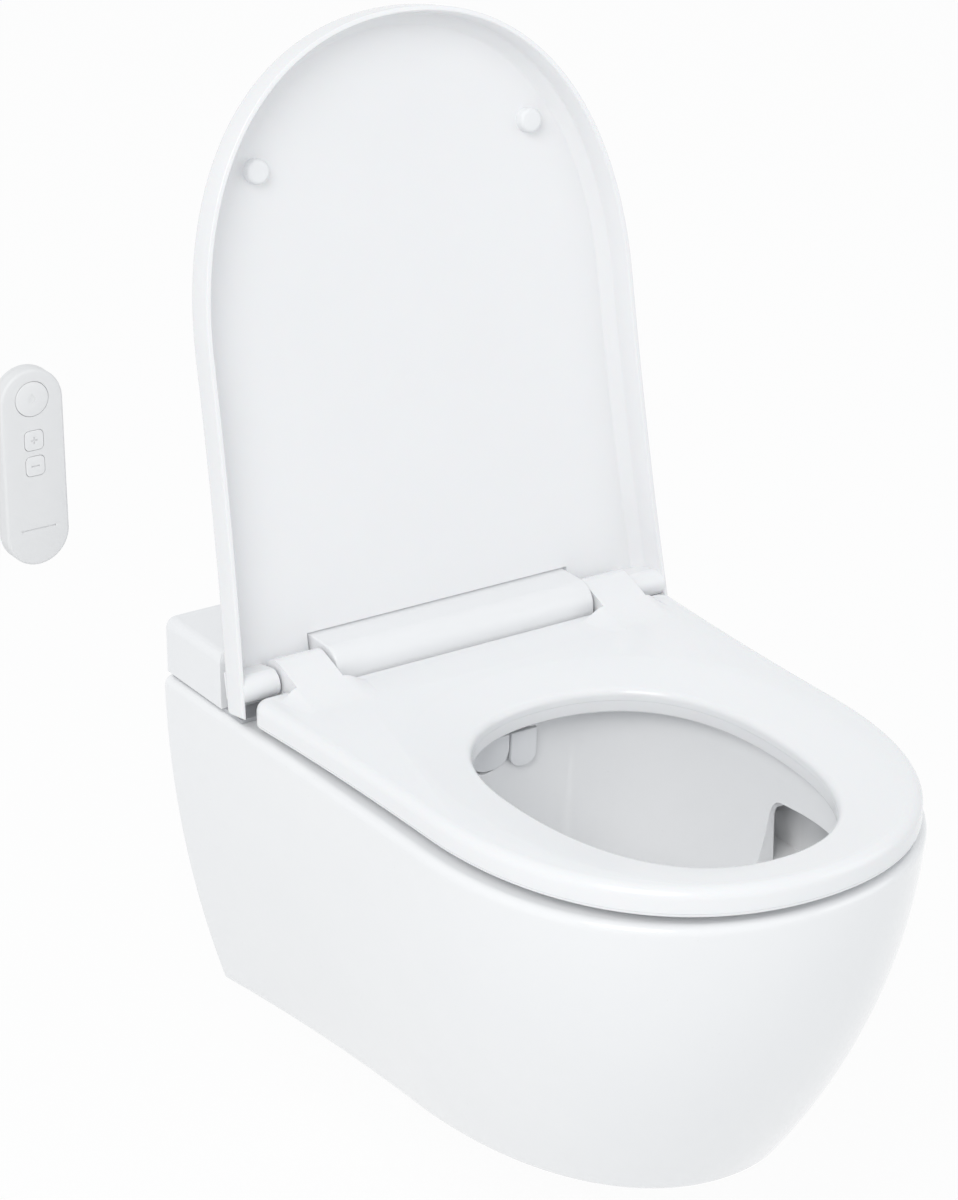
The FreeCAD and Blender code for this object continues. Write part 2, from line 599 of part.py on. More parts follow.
node("power_module", rounded("supply", box("supply_block", "power_wide", "power_deep", "power_tall",
                                           "power_side - power_wide / 2", "-power_back - power_deep", floor),
                             S.edge_round, lambda edge: edge.BoundBox.ZLength > 1))
node("power_gland", cut("gland", fuse(
    "gland_blank",
    rod("gland_barrel", "gland_radius", "gland_long", "power_side", -1, "supply_level", Y_WAY * -1),
    rod("gland_nut", "gland_radius + 3", 4, "power_side", "-cover_wall - part_gap", "supply_level",
        Y_WAY * -1)),
    rod("gland_bore", "cable_bore", "2 * gland_long", "power_side", "gland_long / 4", "supply_level",
        Y_WAY * -1)))

node("water_tubes", group(
    "tubes",
    rod("heater_tube", "tube_radius", "supply_side - valve_wide / 2 - heater_side - heater_wide",
        "heater_side + heater_wide", "-heater_back - heater_deep + 10", f"{floor} + 15", X_WAY),
    rod("pump_tube", "tube_radius", "pump_back - pump_radius - heater_back - heater_deep",
        "pump_side + pump_long / 2",
        "-heater_back - heater_deep", f"{floor} + pump_radius", Y_WAY * -1),
    rod("drive_tube", "tube_radius", "pump_side - pump_long / 3 - spray_side - guide_half",
        "spray_side + guide_half", "-pump_back", f"{floor} + pump_radius", X_WAY)))

# ---------------------------------------------------------------- spray arms
SLOPED = FreeCAD.Rotation(X_WAY, S.spray_slope)


def on_slope(label, thing):
    """Sets a piece made at the mouth of the spray guide into place."""
    thing.Placement.Rotation = SLOPED
    at(thing, "spray_side", "-spray_reach", "spray_level")
    return node(label, thing)


def spray_arm(arm, radius, side):
    """A hollow arm, its nozzle head with two jets, and the shield that closes the guide's mouth."""
    head = "3 * shield_thick"
    on_slope(f"{arm}_wash_arm", tube(f"{arm}_tube", radius, f"{radius} - arm_wall", f"arm_long - {head}",
                                     side, head, 0,
                                     Y_WAY))
    on_slope(f"{arm}_wash_nozzle", cut(
        f"{arm}_head", rod(f"{arm}_head_blank", radius, f"{head} + slide_gap", side, "-slide_gap", 0, Y_WAY),
        rod(f"{arm}_jet_front", "jet_radius", radius, side, "shield_thick", 0),
        rod(f"{arm}_jet_back", "jet_radius", radius, side, "2 * shield_thick", 0)))
    half = f"{arm}_shield_half"
    drop = f"{arm}_shield_drop"
    plate = box(f"{arm}_plate", f"2 * {half}", "shield_thick", f"{drop} + shield_up", f"{side} - {half}",
                "-shield_thick - slide_gap", f"-{drop}")
    lower = rounded(f"{arm}_plate_round", plate, getattr(S, f"{arm}_shield_round"),
                    lambda edge: edge.BoundBox.YLength > 1 and edge.BoundBox.ZMax < 0
                    and edge.BoundBox.XLength < 1)
    on_slope(f"{arm}_wash_shield", rounded(f"{arm}_plate_soft", lower, S.shield_edge,
                                           lambda edge: edge.BoundBox.YMax < -S.shield_thick))


guide_block = box("guide_block", "2 * guide_half", "guide_long", "guide_tall", "-guide_half", 0,
                  "-guide_tall / 2")
on_slope("spray_guide", cut(
    "guide", guide_block,
    rod("rear_way", "rear_arm + slide_gap", "2 * guide_long", "rear_arm_side", -10, 0, Y_WAY),
    rod("front_way", "front_arm + slide_gap", "2 * guide_long", "front_arm_side", -10, 0, Y_WAY)))
spray_arm("rear", "rear_arm", "rear_arm_side")
spray_arm("front", "front_arm", "front_arm_side")
node("spray_drive", fuse("drive",
                         box("drive_case", "2 * guide_half", "drive_deep", "drive_tall",
                             "spray_side - guide_half",
                             "-pump_back - drive_deep / 2", floor),
                         rod("drive_motor", "drive_deep / 2 - 2", "drive_tall / 2",
                             "spray_side + rear_arm_side",
                             "-pump_back", f"{floor} + drive_tall")))


# ---------------------------------------------------------------- seat
def seat_outline(inset, level, back):
    return d_wire(S.seat_back_half - inset, S.seat_half - inset, back, S.seat_side, S.seat_reach - inset,
                  S.front_full, level)


def opening_outline(grow, level):
    return egg_wire(S.opening_centre, S.opening_half + grow, S.opening_front + grow, S.opening_back + grow,
                    S.egg_full, level)


def seat_dish(down):
    """The shallow dish in the seat's top, moved down."""
    top = S.rim_level + S.seat_lift + S.seat_thick - down
    return Part.makeLoft([opening_outline(S.dish_width, top), opening_outline(0, top - S.dish_depth)],
                         True, True)


def seat_shells():
    """The seat's upper and lower shells, split a little above its underside."""
    under = S.rim_level + S.seat_lift
    split = under + S.seat_base
    top = under + S.seat_thick
    ring = prism(seat_outline(0, under, S.seat_rear), S.seat_thick)
    ring = ring.makeFillet(S.seat_corner, [edge for edge in ring.Edges
                                           if edge.BoundBox.ZLength > S.seat_thick - 1
                                           and edge.BoundBox.YMin > -1 - S.seat_rear])
    ring = ring.makeFillet(S.seat_round, [edge for edge in ring.Edges
                                          if flat_edge(edge, top)
                                          and edge.BoundBox.YMin < 1 - S.seat_rear * 1.05])
    ring = ring.makeFillet(S.seat_base * 0.8, [edge for edge in ring.Edges if flat_edge(edge, under)
                                               and edge.BoundBox.YMin < 1 - S.seat_rear * 1.05])
    clear_of_arms = S.lid_knuckle_inner - S.arm_clear
    hinge_room = block(-clear_of_arms, clear_of_arms, -S.seat_notch, 0, under - 1, top + 1)
    ring = ring.cut(hinge_room)
    ring = ring.cut(seat_dish(0)).cut(prism(opening_outline(0, under - 1), S.seat_thick + 2))
    lip = [edge for edge in ring.Edges if flat_edge(edge, top - S.dish_depth)]
    ring = ring.makeFillet(S.lip_round, lip)
    lower = ring.common(block(-S.seat_reach, S.seat_reach, -2 * S.seat_reach, 0, under - 1, split))
    lip_level = S.rim_level + S.lip_clear
    lower = lower.fuse(prism(opening_outline(S.lip_wall, lip_level), split - lip_level))
    lower = lower.cut(prism(opening_outline(0, lip_level - 1), S.seat_thick))
    upper = ring.common(block(-S.seat_reach, S.seat_reach, -2 * S.seat_reach, 0, split, top + 1))
    room = prism(seat_outline(S.seat_skin + S.seat_round / 3, split - 1, S.seat_notch + S.seat_skin),
                 top - split - S.seat_skin + 1)
    room = room.cut(seat_dish(S.seat_skin))
    room = room.cut(prism(opening_outline(S.seat_skin + S.lip_round / 3, split - 2), S.seat_thick))
    upper = upper.cut(room)
    for knuckle in seat_knuckles(top):
        upper = upper.fuse(knuckle)
    bore = Part.makeCylinder(S.pin_radius + S.running_gap + S.bush_wall, 4 * S.knuckle_outer,
                             Vector(-2 * S.knuckle_outer, -S.hinge_reach, S.rim_level + S.hinge_level), X_WAY)
    return upper.cut(bore), lower


def heater_mat():
    """The thin heated sheet that lies against the underside of the dish."""
    low = S.rim_level + S.seat_lift
    ring = prism(opening_outline(S.dish_width - S.mat_inset, low), S.seat_thick)
    ring = ring.cut(prism(opening_outline(S.mat_inset, low - 1), S.seat_thick + 2))
    return ring.common(seat_dish(S.seat_skin + S.mat_thick)).cut(seat_dish(S.seat_skin))


def seat_knuckles(top):
    """A round knuckle on each side with a ramp that runs down into the top of the seat."""
    level = S.rim_level + S.hinge_level
    centre = Vector(S.knuckle_inner, -S.hinge_reach, level)
    ramp_end = Vector(S.knuckle_inner, -S.ramp_reach, top - 1)
    toward = ramp_end - centre
    lean = math.atan2(toward.z, -toward.y)
    spread = math.acos(S.knuckle / toward.Length)
    touch = centre + Vector(0, -math.cos(lean + spread), math.sin(lean + spread)) * S.knuckle
    low = Vector(S.knuckle_inner, -S.hinge_reach, level - S.knuckle)
    low_end = Vector(S.knuckle_inner, -S.ramp_reach, top - S.seat_skin - S.dish_depth)
    wide = X_WAY * (S.knuckle_outer - S.knuckle_inner)
    ramp = Part.Face(Part.makePolygon([centre, touch, ramp_end, low_end, low, centre])).extrude(wide)
    right = Part.makeCylinder(S.knuckle, wide.Length, centre, X_WAY).fuse(ramp)
    return right, right.mirror(Vector(), X_WAY)


seat_upper, seat_lower = seat_shells()
node("seat_top_shell", feature("seat_upper", seat_upper))
node("seat_base_shell", feature("seat_lower", seat_lower))
node("seat_heater_mat", feature("heater_mat", heater_mat()))
node("seat_bumpers", group("bumpers", *[
    rod(f"seat_bumper_{place}_{way}", "bumper_radius", "seat_lift - fit_gap", f"{way} * bumper_{place}_side",
        f"-bumper_{place}_reach", "rim_level + fit_gap")
    for place in ("rear", "front") for way in (-1, 1)]))
node("seat_hinge_bushes", pair("seat_bushes", tube("seat_bush", "pin_radius + running_gap + bush_wall",
                                                   "pin_radius + running_gap",
                                                   "knuckle_outer - knuckle_inner",
                                                   "knuckle_inner", "-hinge_reach", hinge_line, X_WAY)))


# ---------------------------------------------------------------- lid
def lid_outline(inset, level, back):
    grow = S.lid_gap + S.lid_wall - inset
    return d_wire(S.seat_back_half + grow, S.seat_half + grow, back, S.seat_side, S.lid_reach - inset,
                  S.front_full, level)


def lid_inner_half(out):
    """Half the width between the lid's skirts at a distance from the wall."""
    half = S.seat_half + S.lid_gap
    reach = S.seat_reach + S.lid_gap
    handle = S.seat_side + S.front_full * (reach - S.seat_side)
    nose = curve(Vector(half, S.seat_side), Vector(half, handle),
                 Vector(S.front_full * half, reach), Vector(0, reach))
    spots = [spot for spot in nose.discretize(400) if spot.y <= out]
    return spots[-1].x if spots else half


def lid_shell():
    """The lid as it lies when shut and level: a flat plate with a skirt, open at the tail."""
    axis_level = S.rim_level + S.hinge_level
    top = axis_level + S.lid_out
    rim = top - S.lid_deep
    tail = S.hinge_reach - S.lid_tail
    shell = prism(lid_outline(0, rim, tail), S.lid_deep)
    shell = shell.makeFillet(S.lid_round, [edge for edge in shell.Edges if flat_edge(edge, top)])
    inside = prism(lid_outline(S.lid_wall, rim - 1, tail - S.lid_wall), S.lid_deep - S.lid_plate + 1)
    inside = inside.makeFillet(S.lid_inner_round, [edge for edge in inside.Edges
                                                   if flat_edge(edge, top - S.lid_plate)
                                                   and edge.BoundBox.YMin < 1 - tail])
    shell = shell.cut(inside)
    half = S.bar_half + 2
    notch_reach = S.hinge_reach + S.lid_notch
    shell = shell.cut(block(-half, half, -notch_reach, 0, rim, top + 1))
    hub = Part.makeCylinder(S.lid_knuckle, lid_arm_length(), Vector(S.lid_knuckle_inner, -S.hinge_reach,
                                                                            axis_level), X_WAY)
    web = block(S.lid_knuckle_inner, S.lid_knuckle_inner + lid_arm_length(), -S.hinge_reach - S.lid_knuckle,
                -S.hinge_reach + S.lid_knuckle, axis_level, top - S.lid_plate / 2)
    arm = hub.fuse(web)
    for side in (arm, arm.mirror(Vector(), X_WAY)):
        shell = shell.fuse(side)
    bore = S.pin_radius + S.running_gap + S.bush_wall
    long = lid_arm_length() - 3
    for start, way in ((S.lid_knuckle_inner, X_WAY), (-S.lid_knuckle_inner, X_WAY * -1)):
        shell = shell.cut(Part.makeCylinder(bore, long, Vector(start, -S.hinge_reach, axis_level), way))
    corner = block(-S.lid_reach, S.lid_reach, -tail - S.lid_tail, -tail, rim, top)
    low_edge = [edge for edge in corner.Edges if flat_edge(edge, rim) and edge.BoundBox.YMin > -tail - 1]
    return shell.cut(corner.cut(corner.makeFillet(S.lid_tail_round, low_edge)))


def lid_arm_length():
    return S.seat_back_half + S.lid_gap + 1 - S.lid_knuckle_inner


HINGE_POINT = Vector(0, -S.hinge_reach, S.rim_level + S.hinge_level)
RAISED = FreeCAD.Placement(Vector(), FreeCAD.Rotation(X_WAY * -1, S.lid_open), HINGE_POINT)


def raised(label, thing):
    """Turns a piece of the shut lid up to where the lid stands open."""
    thing.Placement = RAISED
    return node(label, thing)


raised("lid_shell", feature("lid", lid_shell()))
lid_over_seat = "hinge_level + lid_out - lid_plate - seat_lift - seat_thick"
bumper_tall = f"{lid_over_seat} - (lid_bumper_reach + lid_bumper_radius) * sin(lid_drop) - fit_gap"
bumper_front = S.hinge_reach + S.lid_bumper_reach + S.lid_bumper_radius
bumper_side = lid_inner_half(bumper_front) - S.lid_bumper_radius - S.lid_bumper_clear
raised("lid_bumpers", pair("lid_pads", rod("lid_pad", "lid_bumper_radius", bumper_tall, bumper_side,
                                           "-hinge_reach - lid_bumper_reach",
                                           f"{hinge_line} + lid_out - lid_plate - ({bumper_tall})")))
raised("lid_hinge_bushes", pair("lid_bushes", tube("lid_bush", "pin_radius + running_gap + bush_wall",
                                                   "pin_radius + running_gap",
                                                   "seat_back_half + lid_gap - 2 - lid_knuckle_inner",
                                                   "lid_knuckle_inner", "-hinge_reach", hinge_line, X_WAY)))


# ---------------------------------------------------------------- remote control on its wall holder
def stadium(name, half, half_tall, thick, y):
    """A plate with round ends, standing upright in front of the wall."""
    return fuse(name,
                box(f"{name}_middle", f"2 * ({half})", thick, f"2 * ({half_tall} - ({half}))",
                    f"remote_side - ({half})", y, f"remote_level - ({half_tall}) + ({half})"),
                *[rod(f"{name}_end_{number}", half, thick, "remote_side", y,
                      f"remote_level + {way} * (({half_tall}) - ({half}))", Y_WAY)
                  for number, way in enumerate((-1, 1))])


def rounded_square(name, half, thick, up, y):
    """A square key with round corners, standing upright at a height on the remote."""
    return rounded(name, box(f"{name}_blank", f"2 * ({half})", thick, f"2 * ({half})",
                             f"remote_side - ({half})", y,
                             f"remote_level + {up} - ({half})"),
                   S.small_round, lambda edge: edge.BoundBox.YLength > 1)


def round_key(name, radius, thick, up, y):
    return rod(name, radius, thick, "remote_side", y, f"remote_level + {up}", Y_WAY)


def button(label, shape, half, up):
    """A key that stands a little proud of the face, with a flange that keeps it in."""
    node(label, fuse(f"{label}_piece",
                     shape(f"{label}_key", half, "button_thick", up, f"{face} - button_proud"),
                     shape(f"{label}_rim", f"{half} + button_flange", "button_rim", up,
                           f"{face} + remote_wall + fit_gap")))


back_face = "-holder_thick - part_gap"
back_inside = f"{back_face} - remote_wall"
seam = f"{back_face} - remote_thick / 3"
face = f"{back_face} - remote_thick"
room = ("remote_half - remote_wall", "remote_half_tall - remote_wall")

screw_holes = [rod(f"holder_hole_{number}", "holder_screw_bore", "4 * holder_thick", "remote_side",
                   "-2 * holder_thick", f"remote_level + {way} * holder_screws / 2", Y_WAY)
               for number, way in enumerate((-1, 1))]
magnet = ("magnet_radius", "magnet_thick", "remote_side", "-holder_thick", "remote_level", Y_WAY)
node("wall_holder", cut("holder", stadium("holder_plate", "holder_half", "holder_half_tall", "holder_thick",
                                          "-holder_thick"), rod("magnet_pocket", *magnet), *screw_holes))
node("holder_magnet", rod("magnet", *magnet))

back_blank = stadium("back_blank", "remote_half", "remote_half_tall", "remote_thick / 3", seam)
back_soft = rounded("back_soft", back_blank, S.remote_round,
                    lambda edge: edge.BoundBox.YMin > -S.holder_thick - S.part_gap - 0.01)
posts = [rod(f"remote_post_{x}_{z}", "tube_radius / 2", "board_stand + remote_wall / 2",
             f"remote_side + {x} * remote_half / 2", f"{back_inside} - board_stand",
             f"remote_level + {z} * (remote_half_tall - remote_half)", Y_WAY) for x in (-1, 1)
             for z in (-1, 1)]
node("remote_back_shell", fuse("back_shell", cut("back_bowl", back_soft,
                                                 stadium("back_room", *room,
                                                         "remote_thick / 3 - remote_wall + 1",
                                                         f"{seam} - 1")), *posts))
node("remote_keeper", rod("keeper", "magnet_radius", "keeper_thick", "remote_side",
                          f"{back_inside} - keeper_thick", "remote_level", Y_WAY))
node("remote_battery", rod("cell", "cell_radius", "cell_thick", "remote_side", f"{back_inside} - cell_thick",
                           "remote_level - cell_down", Y_WAY))
board_front = f"{back_inside} - board_stand - board_thick"
node("remote_board", stadium("remote_sheet", "remote_half - 2 * remote_wall",
                             "remote_half_tall - 4 * remote_wall",
                             "board_thick", board_front))
node("button_mat", fuse("rubber",
                        box("rubber_sheet", "remote_half", "rubber_thick",
                            "spray_button_up + 2 * dome_radius",
                            "remote_side - remote_half / 2", f"{board_front} - rubber_thick",
                            "remote_level - dome_radius"),
                        *[rod(f"dome_{up}", "dome_radius", "dome_tall", "remote_side",
                              f"{board_front} - rubber_thick - dome_tall", f"remote_level + {up}", Y_WAY)
                          for up in ("spray_button_up", "plus_up", "minus_up")]))

front_blank = stadium("front_blank", "remote_half", "remote_half_tall", "remote_thick * 2 / 3", face)
front_edge = -S.holder_thick - S.part_gap - S.remote_thick + 0.01
front_soft = rounded("front_soft", front_blank, S.remote_round, lambda edge: edge.BoundBox.YMax < front_edge)
node("remote_front_shell", cut("front_shell", front_soft,
                               stadium("front_room", *room, "remote_thick * 2 / 3 - remote_wall + 1",
                                       f"{face} + remote_wall"),
                               round_key("spray_hole", "spray_button + button_gap", "4 * remote_wall",
                                         "spray_button_up", f"{face} - 2 * remote_wall"),
                               *[rounded_square(f"{up}_hole", "small_button + button_gap",
                                                "4 * remote_wall", up,
                                                f"{face} - 2 * remote_wall")
                                                for up in ("plus_up", "minus_up")],
                               box("groove", "groove_long", "2 * groove_deep", "groove_wide",
                                   "remote_side - groove_long / 2", f"{face} - groove_deep",
                                   "remote_level - groove_down - groove_wide / 2")))
button("spray_button", round_key, "spray_button", "spray_button_up")
button("plus_button", rounded_square, "small_button", "plus_up")
button("minus_button", rounded_square, "small_button", "minus_up")

# ---------------------------------------------------------------- checks and files
doc.recompute()
for thing in doc.Objects:
    if "Invalid" in thing.State or "Error" in thing.State:
        raise RuntimeError(f"{thing.Label} failed: {thing.State}")
for piece in NODES:
    if piece.Shape.isNull() or not piece.Shape.isValid() or not piece.Shape.Solids:
        raise RuntimeError(f"{piece.Label} has no sound shape")

os.makedirs("parts", exist_ok=True)
for piece in NODES:
    piece.Shape.exportStep(f"parts/{piece.Label}.step")
    print(f"{piece.Label}: {len(piece.Shape.Solids)} solids, {piece.Shape.Volume / 1000:.1f} cm3")
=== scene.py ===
"""A wall-hung shower toilet: glazed pan, heated seat, raised lid, hinge cover, wash arms and remote control."""

import json
import math

import bmesh
import bpy
from mathutils import Matrix, Vector


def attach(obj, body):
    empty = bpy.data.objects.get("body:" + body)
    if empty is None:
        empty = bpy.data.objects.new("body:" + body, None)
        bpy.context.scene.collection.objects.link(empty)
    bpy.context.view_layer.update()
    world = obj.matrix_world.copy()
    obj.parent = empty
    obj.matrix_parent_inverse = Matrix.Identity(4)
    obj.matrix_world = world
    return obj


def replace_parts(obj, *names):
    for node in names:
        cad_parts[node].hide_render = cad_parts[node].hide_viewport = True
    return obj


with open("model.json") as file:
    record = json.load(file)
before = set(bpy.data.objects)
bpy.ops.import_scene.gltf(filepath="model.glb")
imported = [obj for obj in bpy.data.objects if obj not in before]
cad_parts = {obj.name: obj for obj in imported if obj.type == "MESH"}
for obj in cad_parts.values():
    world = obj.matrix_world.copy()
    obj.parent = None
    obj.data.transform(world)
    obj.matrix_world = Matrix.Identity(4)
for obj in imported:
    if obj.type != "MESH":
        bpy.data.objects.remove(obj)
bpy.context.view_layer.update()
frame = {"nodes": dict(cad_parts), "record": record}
MM = 0.001

# ---------------------------------------------------------------- sizes in millimetres
RIM = 80
PAN_DROP = 267
CHINA = 9
RIM_ROUND = 7
HINGE_OUT = 108
HINGE_LEVEL = 109
HINGE_BORE = 7.05
KNUCKLE = 15.5
SEAT_UNDER = 87
SEAT_TOP = 107
SEAT_SPLIT = 90
LIP_LEVEL = 80.6
SUMP_LEVEL = -98
LID_TURN = 99.5
PAD_SIDE = 114
PAD_OUT = 469
PAD_RADIUS = 9
PAD_TALL = 8.5
STUD_SIDE = 90
BUSH_SIDE = 77.5


def point(x, y, z):
    """A place given in millimetres."""
    return Vector((x, y, z)) * MM


def between(start, end, share):
    return start + (end - start) * share


# ---------------------------------------------------------------- outlines
def bezier(share, *poles):
    while len(poles) > 1:
        poles = [one.lerp(two, share) for one, two in zip(poles, poles[1:])]
    return poles[0]


FULL_FRONT = 0.61
FULL_EGG = 0.64
AROUND = 200
CORNER_SHARE = 0.03
FLANK_START = 0.14
NOSE_START = 0.33
NOSE_END = 0.80


class DShape:
    """Plan of seat, lid and pan: straight back, round corners, nearly straight flanks and a full round front."""

    def __init__(self, half_back, half_front, back, side, reach, corner=0):
        self.sizes = (half_back, half_front, back, side, reach, corner)

    def inset(self, sides, back=0):
        half_back, half_front, rear, side, reach, corner = self.sizes
        return DShape(half_back - sides, half_front - sides, rear + back, side, reach - sides,
                      max(corner - sides, 0))

    def spot(self, turn):
        """A point of the outline, for a turn from 0 to 1 that starts behind the right flank."""
        half_back, half_front, back, side, reach, corner = self.sizes
        middle = FLANK_START / 2
        if turn <= FLANK_START:
            sign = 1 if turn <= middle else -1
            part = turn if sign == 1 else FLANK_START - turn
            if part < CORNER_SHARE:
                angle = math.pi / 2 * part / CORNER_SHARE
                return Vector((sign * (half_back - corner + corner * math.cos(angle)),
                               -back - corner + corner * math.sin(angle)))
            share = (part - CORNER_SHARE) / (middle - CORNER_SHARE)
            return Vector((sign * (half_back - corner) * (1 - share), -back))
        nose_middle = (NOSE_START + NOSE_END) / 2
        sign = -1 if turn < nose_middle else 1
        if NOSE_START <= turn <= NOSE_END:
            share = (turn - NOSE_START) / (nose_middle - NOSE_START)
            share = share if sign == -1 else 2 - share
            handle = side + FULL_FRONT * (reach - side)
            x, out = bezier(share, Vector((half_front, side)), Vector((half_front, handle)),
                            Vector((FULL_FRONT * half_front, reach)), Vector((0, reach)))
            return Vector((sign * x, -out))
        share = (turn - FLANK_START) / (NOSE_START - FLANK_START) if sign == -1 else (1 - turn) / (1 - NOSE_END)
        x, out = bezier(share, Vector((half_back, back + corner)), Vector((half_front, (back + side) / 2)),
                        Vector((half_front, side)))
        return Vector((sign * x, -out))


class EggShape:
    """Plan of the bowl and of the seat's opening: an egg whose front and back halves have their own length."""

    def __init__(self, centre, half, front, back):
        self.sizes = (centre, half, front, back)

    def inset(self, by):
        centre, half, front, rear = self.sizes
        return EggShape(centre, half - by, front - by, rear - by)

    def spot(self, turn):
        centre, half, front, back = self.sizes
        quarter = 4 * ((turn - FLANK_START / 2) % 1)
        side = -1 if quarter < 2 else 1
        end, length = (1, back) if quarter < 1 or quarter > 3 else (-1, front)
        share = quarter % 1 if quarter < 1 or 2 <= quarter < 3 else 1 - quarter % 1
        x, along = bezier(1 - share, Vector((half, 0)), Vector((half, FULL_EGG * length)),
                          Vector((FULL_EGG * half, length)), Vector((0, length)))
        return Vector((side * x, -centre + end * along))


class Stadium:
    """Plan of the remote: straight sides and half-round ends, upright in front of the wall."""

    def __init__(self, half, half_tall):
        self.sizes = (half, half_tall)

    def inset(self, by):
        return Stadium(self.sizes[0] - by, self.sizes[1] - by)

    def spot(self, turn):
        half, half_tall = self.sizes
        angle = 2 * math.pi * (turn % 1)
        lift = half_tall - half
        return Vector((half * math.cos(angle), half * math.sin(angle) + math.copysign(lift, math.sin(angle))))


class Disc:
    """A round plan, so far up from the middle."""

    def __init__(self, radius, up):
        self.sizes = (radius, up)

    def spot(self, turn):
        radius, up = self.sizes
        return Vector((radius * math.cos(2 * math.pi * turn), up + radius * math.sin(2 * math.pi * turn)))


class Drop(Disc):
    """A drop: round below and pointed above."""

    def spot(self, turn):
        radius, up = self.sizes
        angle = 2 * math.pi * turn
        peak = max(math.sin(angle), 0) ** 3
        return Vector((radius * math.cos(angle) * (1 - 0.5 * peak), up + radius * (math.sin(angle) + 0.7 * peak)))


# ---------------------------------------------------------------- mesh tools
MERGE = 2e-6
SMOOTH = math.radians(32)


def finished(name, bm):
    """Turns a bmesh into an object whose gentle edges are shaded smooth."""
    bmesh.ops.remove_doubles(bm, verts=bm.verts, dist=MERGE)
    mesh = bpy.data.meshes.new(name)
    bm.to_mesh(mesh)
    bm.free()
    thing = bpy.data.objects.new(name, mesh)
    bpy.context.scene.collection.objects.link(thing)
    shade(mesh)
    return thing


def shade(mesh):
    """Smooth all over but for the edges that turn by more than SMOOTH."""
    mesh.shade_smooth()
    mesh.set_sharp_from_angle(angle=SMOOTH)


def lofted(name, rings, around=AROUND):
    """A closed solid through rings; each ring is a plan, a level and a slope towards the front."""
    bm = bmesh.new()
    bmesh.ops.create_grid(bm, x_segments=around, y_segments=len(rings) - 1, size=1)
    for vert in bm.verts:
        plan, level, slope = rings[round((vert.co.y + 1) / 2 * (len(rings) - 1))]
        x, y = plan.spot((vert.co.x + 1) / 2)
        vert.co = point(x, y, level - slope * y)
    bmesh.ops.remove_doubles(bm, verts=bm.verts, dist=MERGE)
    bmesh.ops.holes_fill(bm, edges=[edge for edge in bm.edges if edge.is_boundary], sides=0)
    bmesh.ops.recalc_face_normals(bm, faces=bm.faces)
    return finished(name, bm)


def arc(radius, start, end, steps):
    """Offsets from a corner along a quarter round: how far in, and how far down from the top."""
    for step in range(steps + 1):
        angle = math.radians(start + (end - start) * step / steps)
        yield radius * (1 - math.cos(angle)), radius * (1 - math.sin(angle))


def prism(name, corners, low, high, turned=None):
    """A bar along X whose section is given by its corners in the YZ plane."""
    bm = bmesh.new()
    ring = bmesh.ops.create_circle(bm, segments=len(corners), radius=1, cap_ends=True)["verts"]
    for vert, (y, z) in zip(ring, corners):
        vert.co = point(low, y, z)
    moved = bmesh.ops.extrude_face_region(bm, geom=list(bm.faces))["geom"]
    bmesh.ops.translate(bm, verts=[part for part in moved if isinstance(part, bmesh.types.BMVert)],
                        vec=point(high - low, 0, 0))
    bmesh.ops.recalc_face_normals(bm, faces=bm.faces)
    if turned:
        bmesh.ops.transform(bm, matrix=turned, verts=bm.verts)
    return finished(name, bm)


def slab(name, low, high, rounds=(), segments=8):
    """A block between two corners; each round is a radius and a test of an edge's two ends."""
    bm = bmesh.new()
    bmesh.ops.create_cube(bm, size=1)
    size = [b - a for a, b in zip(low, high)]
    bmesh.ops.scale(bm, vec=Vector(size) * MM, verts=bm.verts)
    bmesh.ops.translate(bm, vec=(point(*low) + point(*high)) / 2, verts=bm.verts)
    for radius, test in rounds:
        edges = [edge for edge in bm.edges if test(*(vert.co / MM for vert in edge.verts))]
        bmesh.ops.bevel(bm, geom=edges, offset=radius * MM, offset_type="OFFSET", segments=segments,
                        profile=0.5, affect="EDGES", clamp_overlap=True, material=-1)
    return finished(name, bm)


def barrel(name, radius, start, end, segments=64):
    """A round bar from one place to another."""
    bm = bmesh.new()
    begin, finish = point(*start), point(*end)
    run = finish - begin
    turn = run.to_track_quat("Z", "Y").to_matrix().to_4x4()
    bmesh.ops.create_cone(bm, cap_ends=True, segments=segments, radius1=radius * MM, radius2=radius * MM,
                          depth=run.length, matrix=Matrix.Translation((begin + finish) / 2) @ turn)
    return finished(name, bm)


def carved(base, *steps):
    """Joins pieces to base, or takes them away, and leaves one clean mesh."""
    for operation, tool in steps:
        change = base.modifiers.new(tool.name, "BOOLEAN")
        change.operation = operation
        change.solver = "MANIFOLD"
        change.object = tool
    graph = bpy.context.evaluated_depsgraph_get()
    mesh = bpy.data.meshes.new_from_object(base.evaluated_get(graph))
    base.modifiers.clear()
    base.data = mesh
    for operation, tool in steps:
        bpy.data.objects.remove(tool)
    shade(mesh)
    return base


def on_hinge(x):
    """The corner of a piece that lies on the hinge line, so far to the side."""
    return (x, -HINGE_OUT, HINGE_LEVEL)


def add(tool):
    return ("UNION", tool)


def less(tool):
    return ("DIFFERENCE", tool)


def kept(tool):
    return ("INTERSECT", tool)


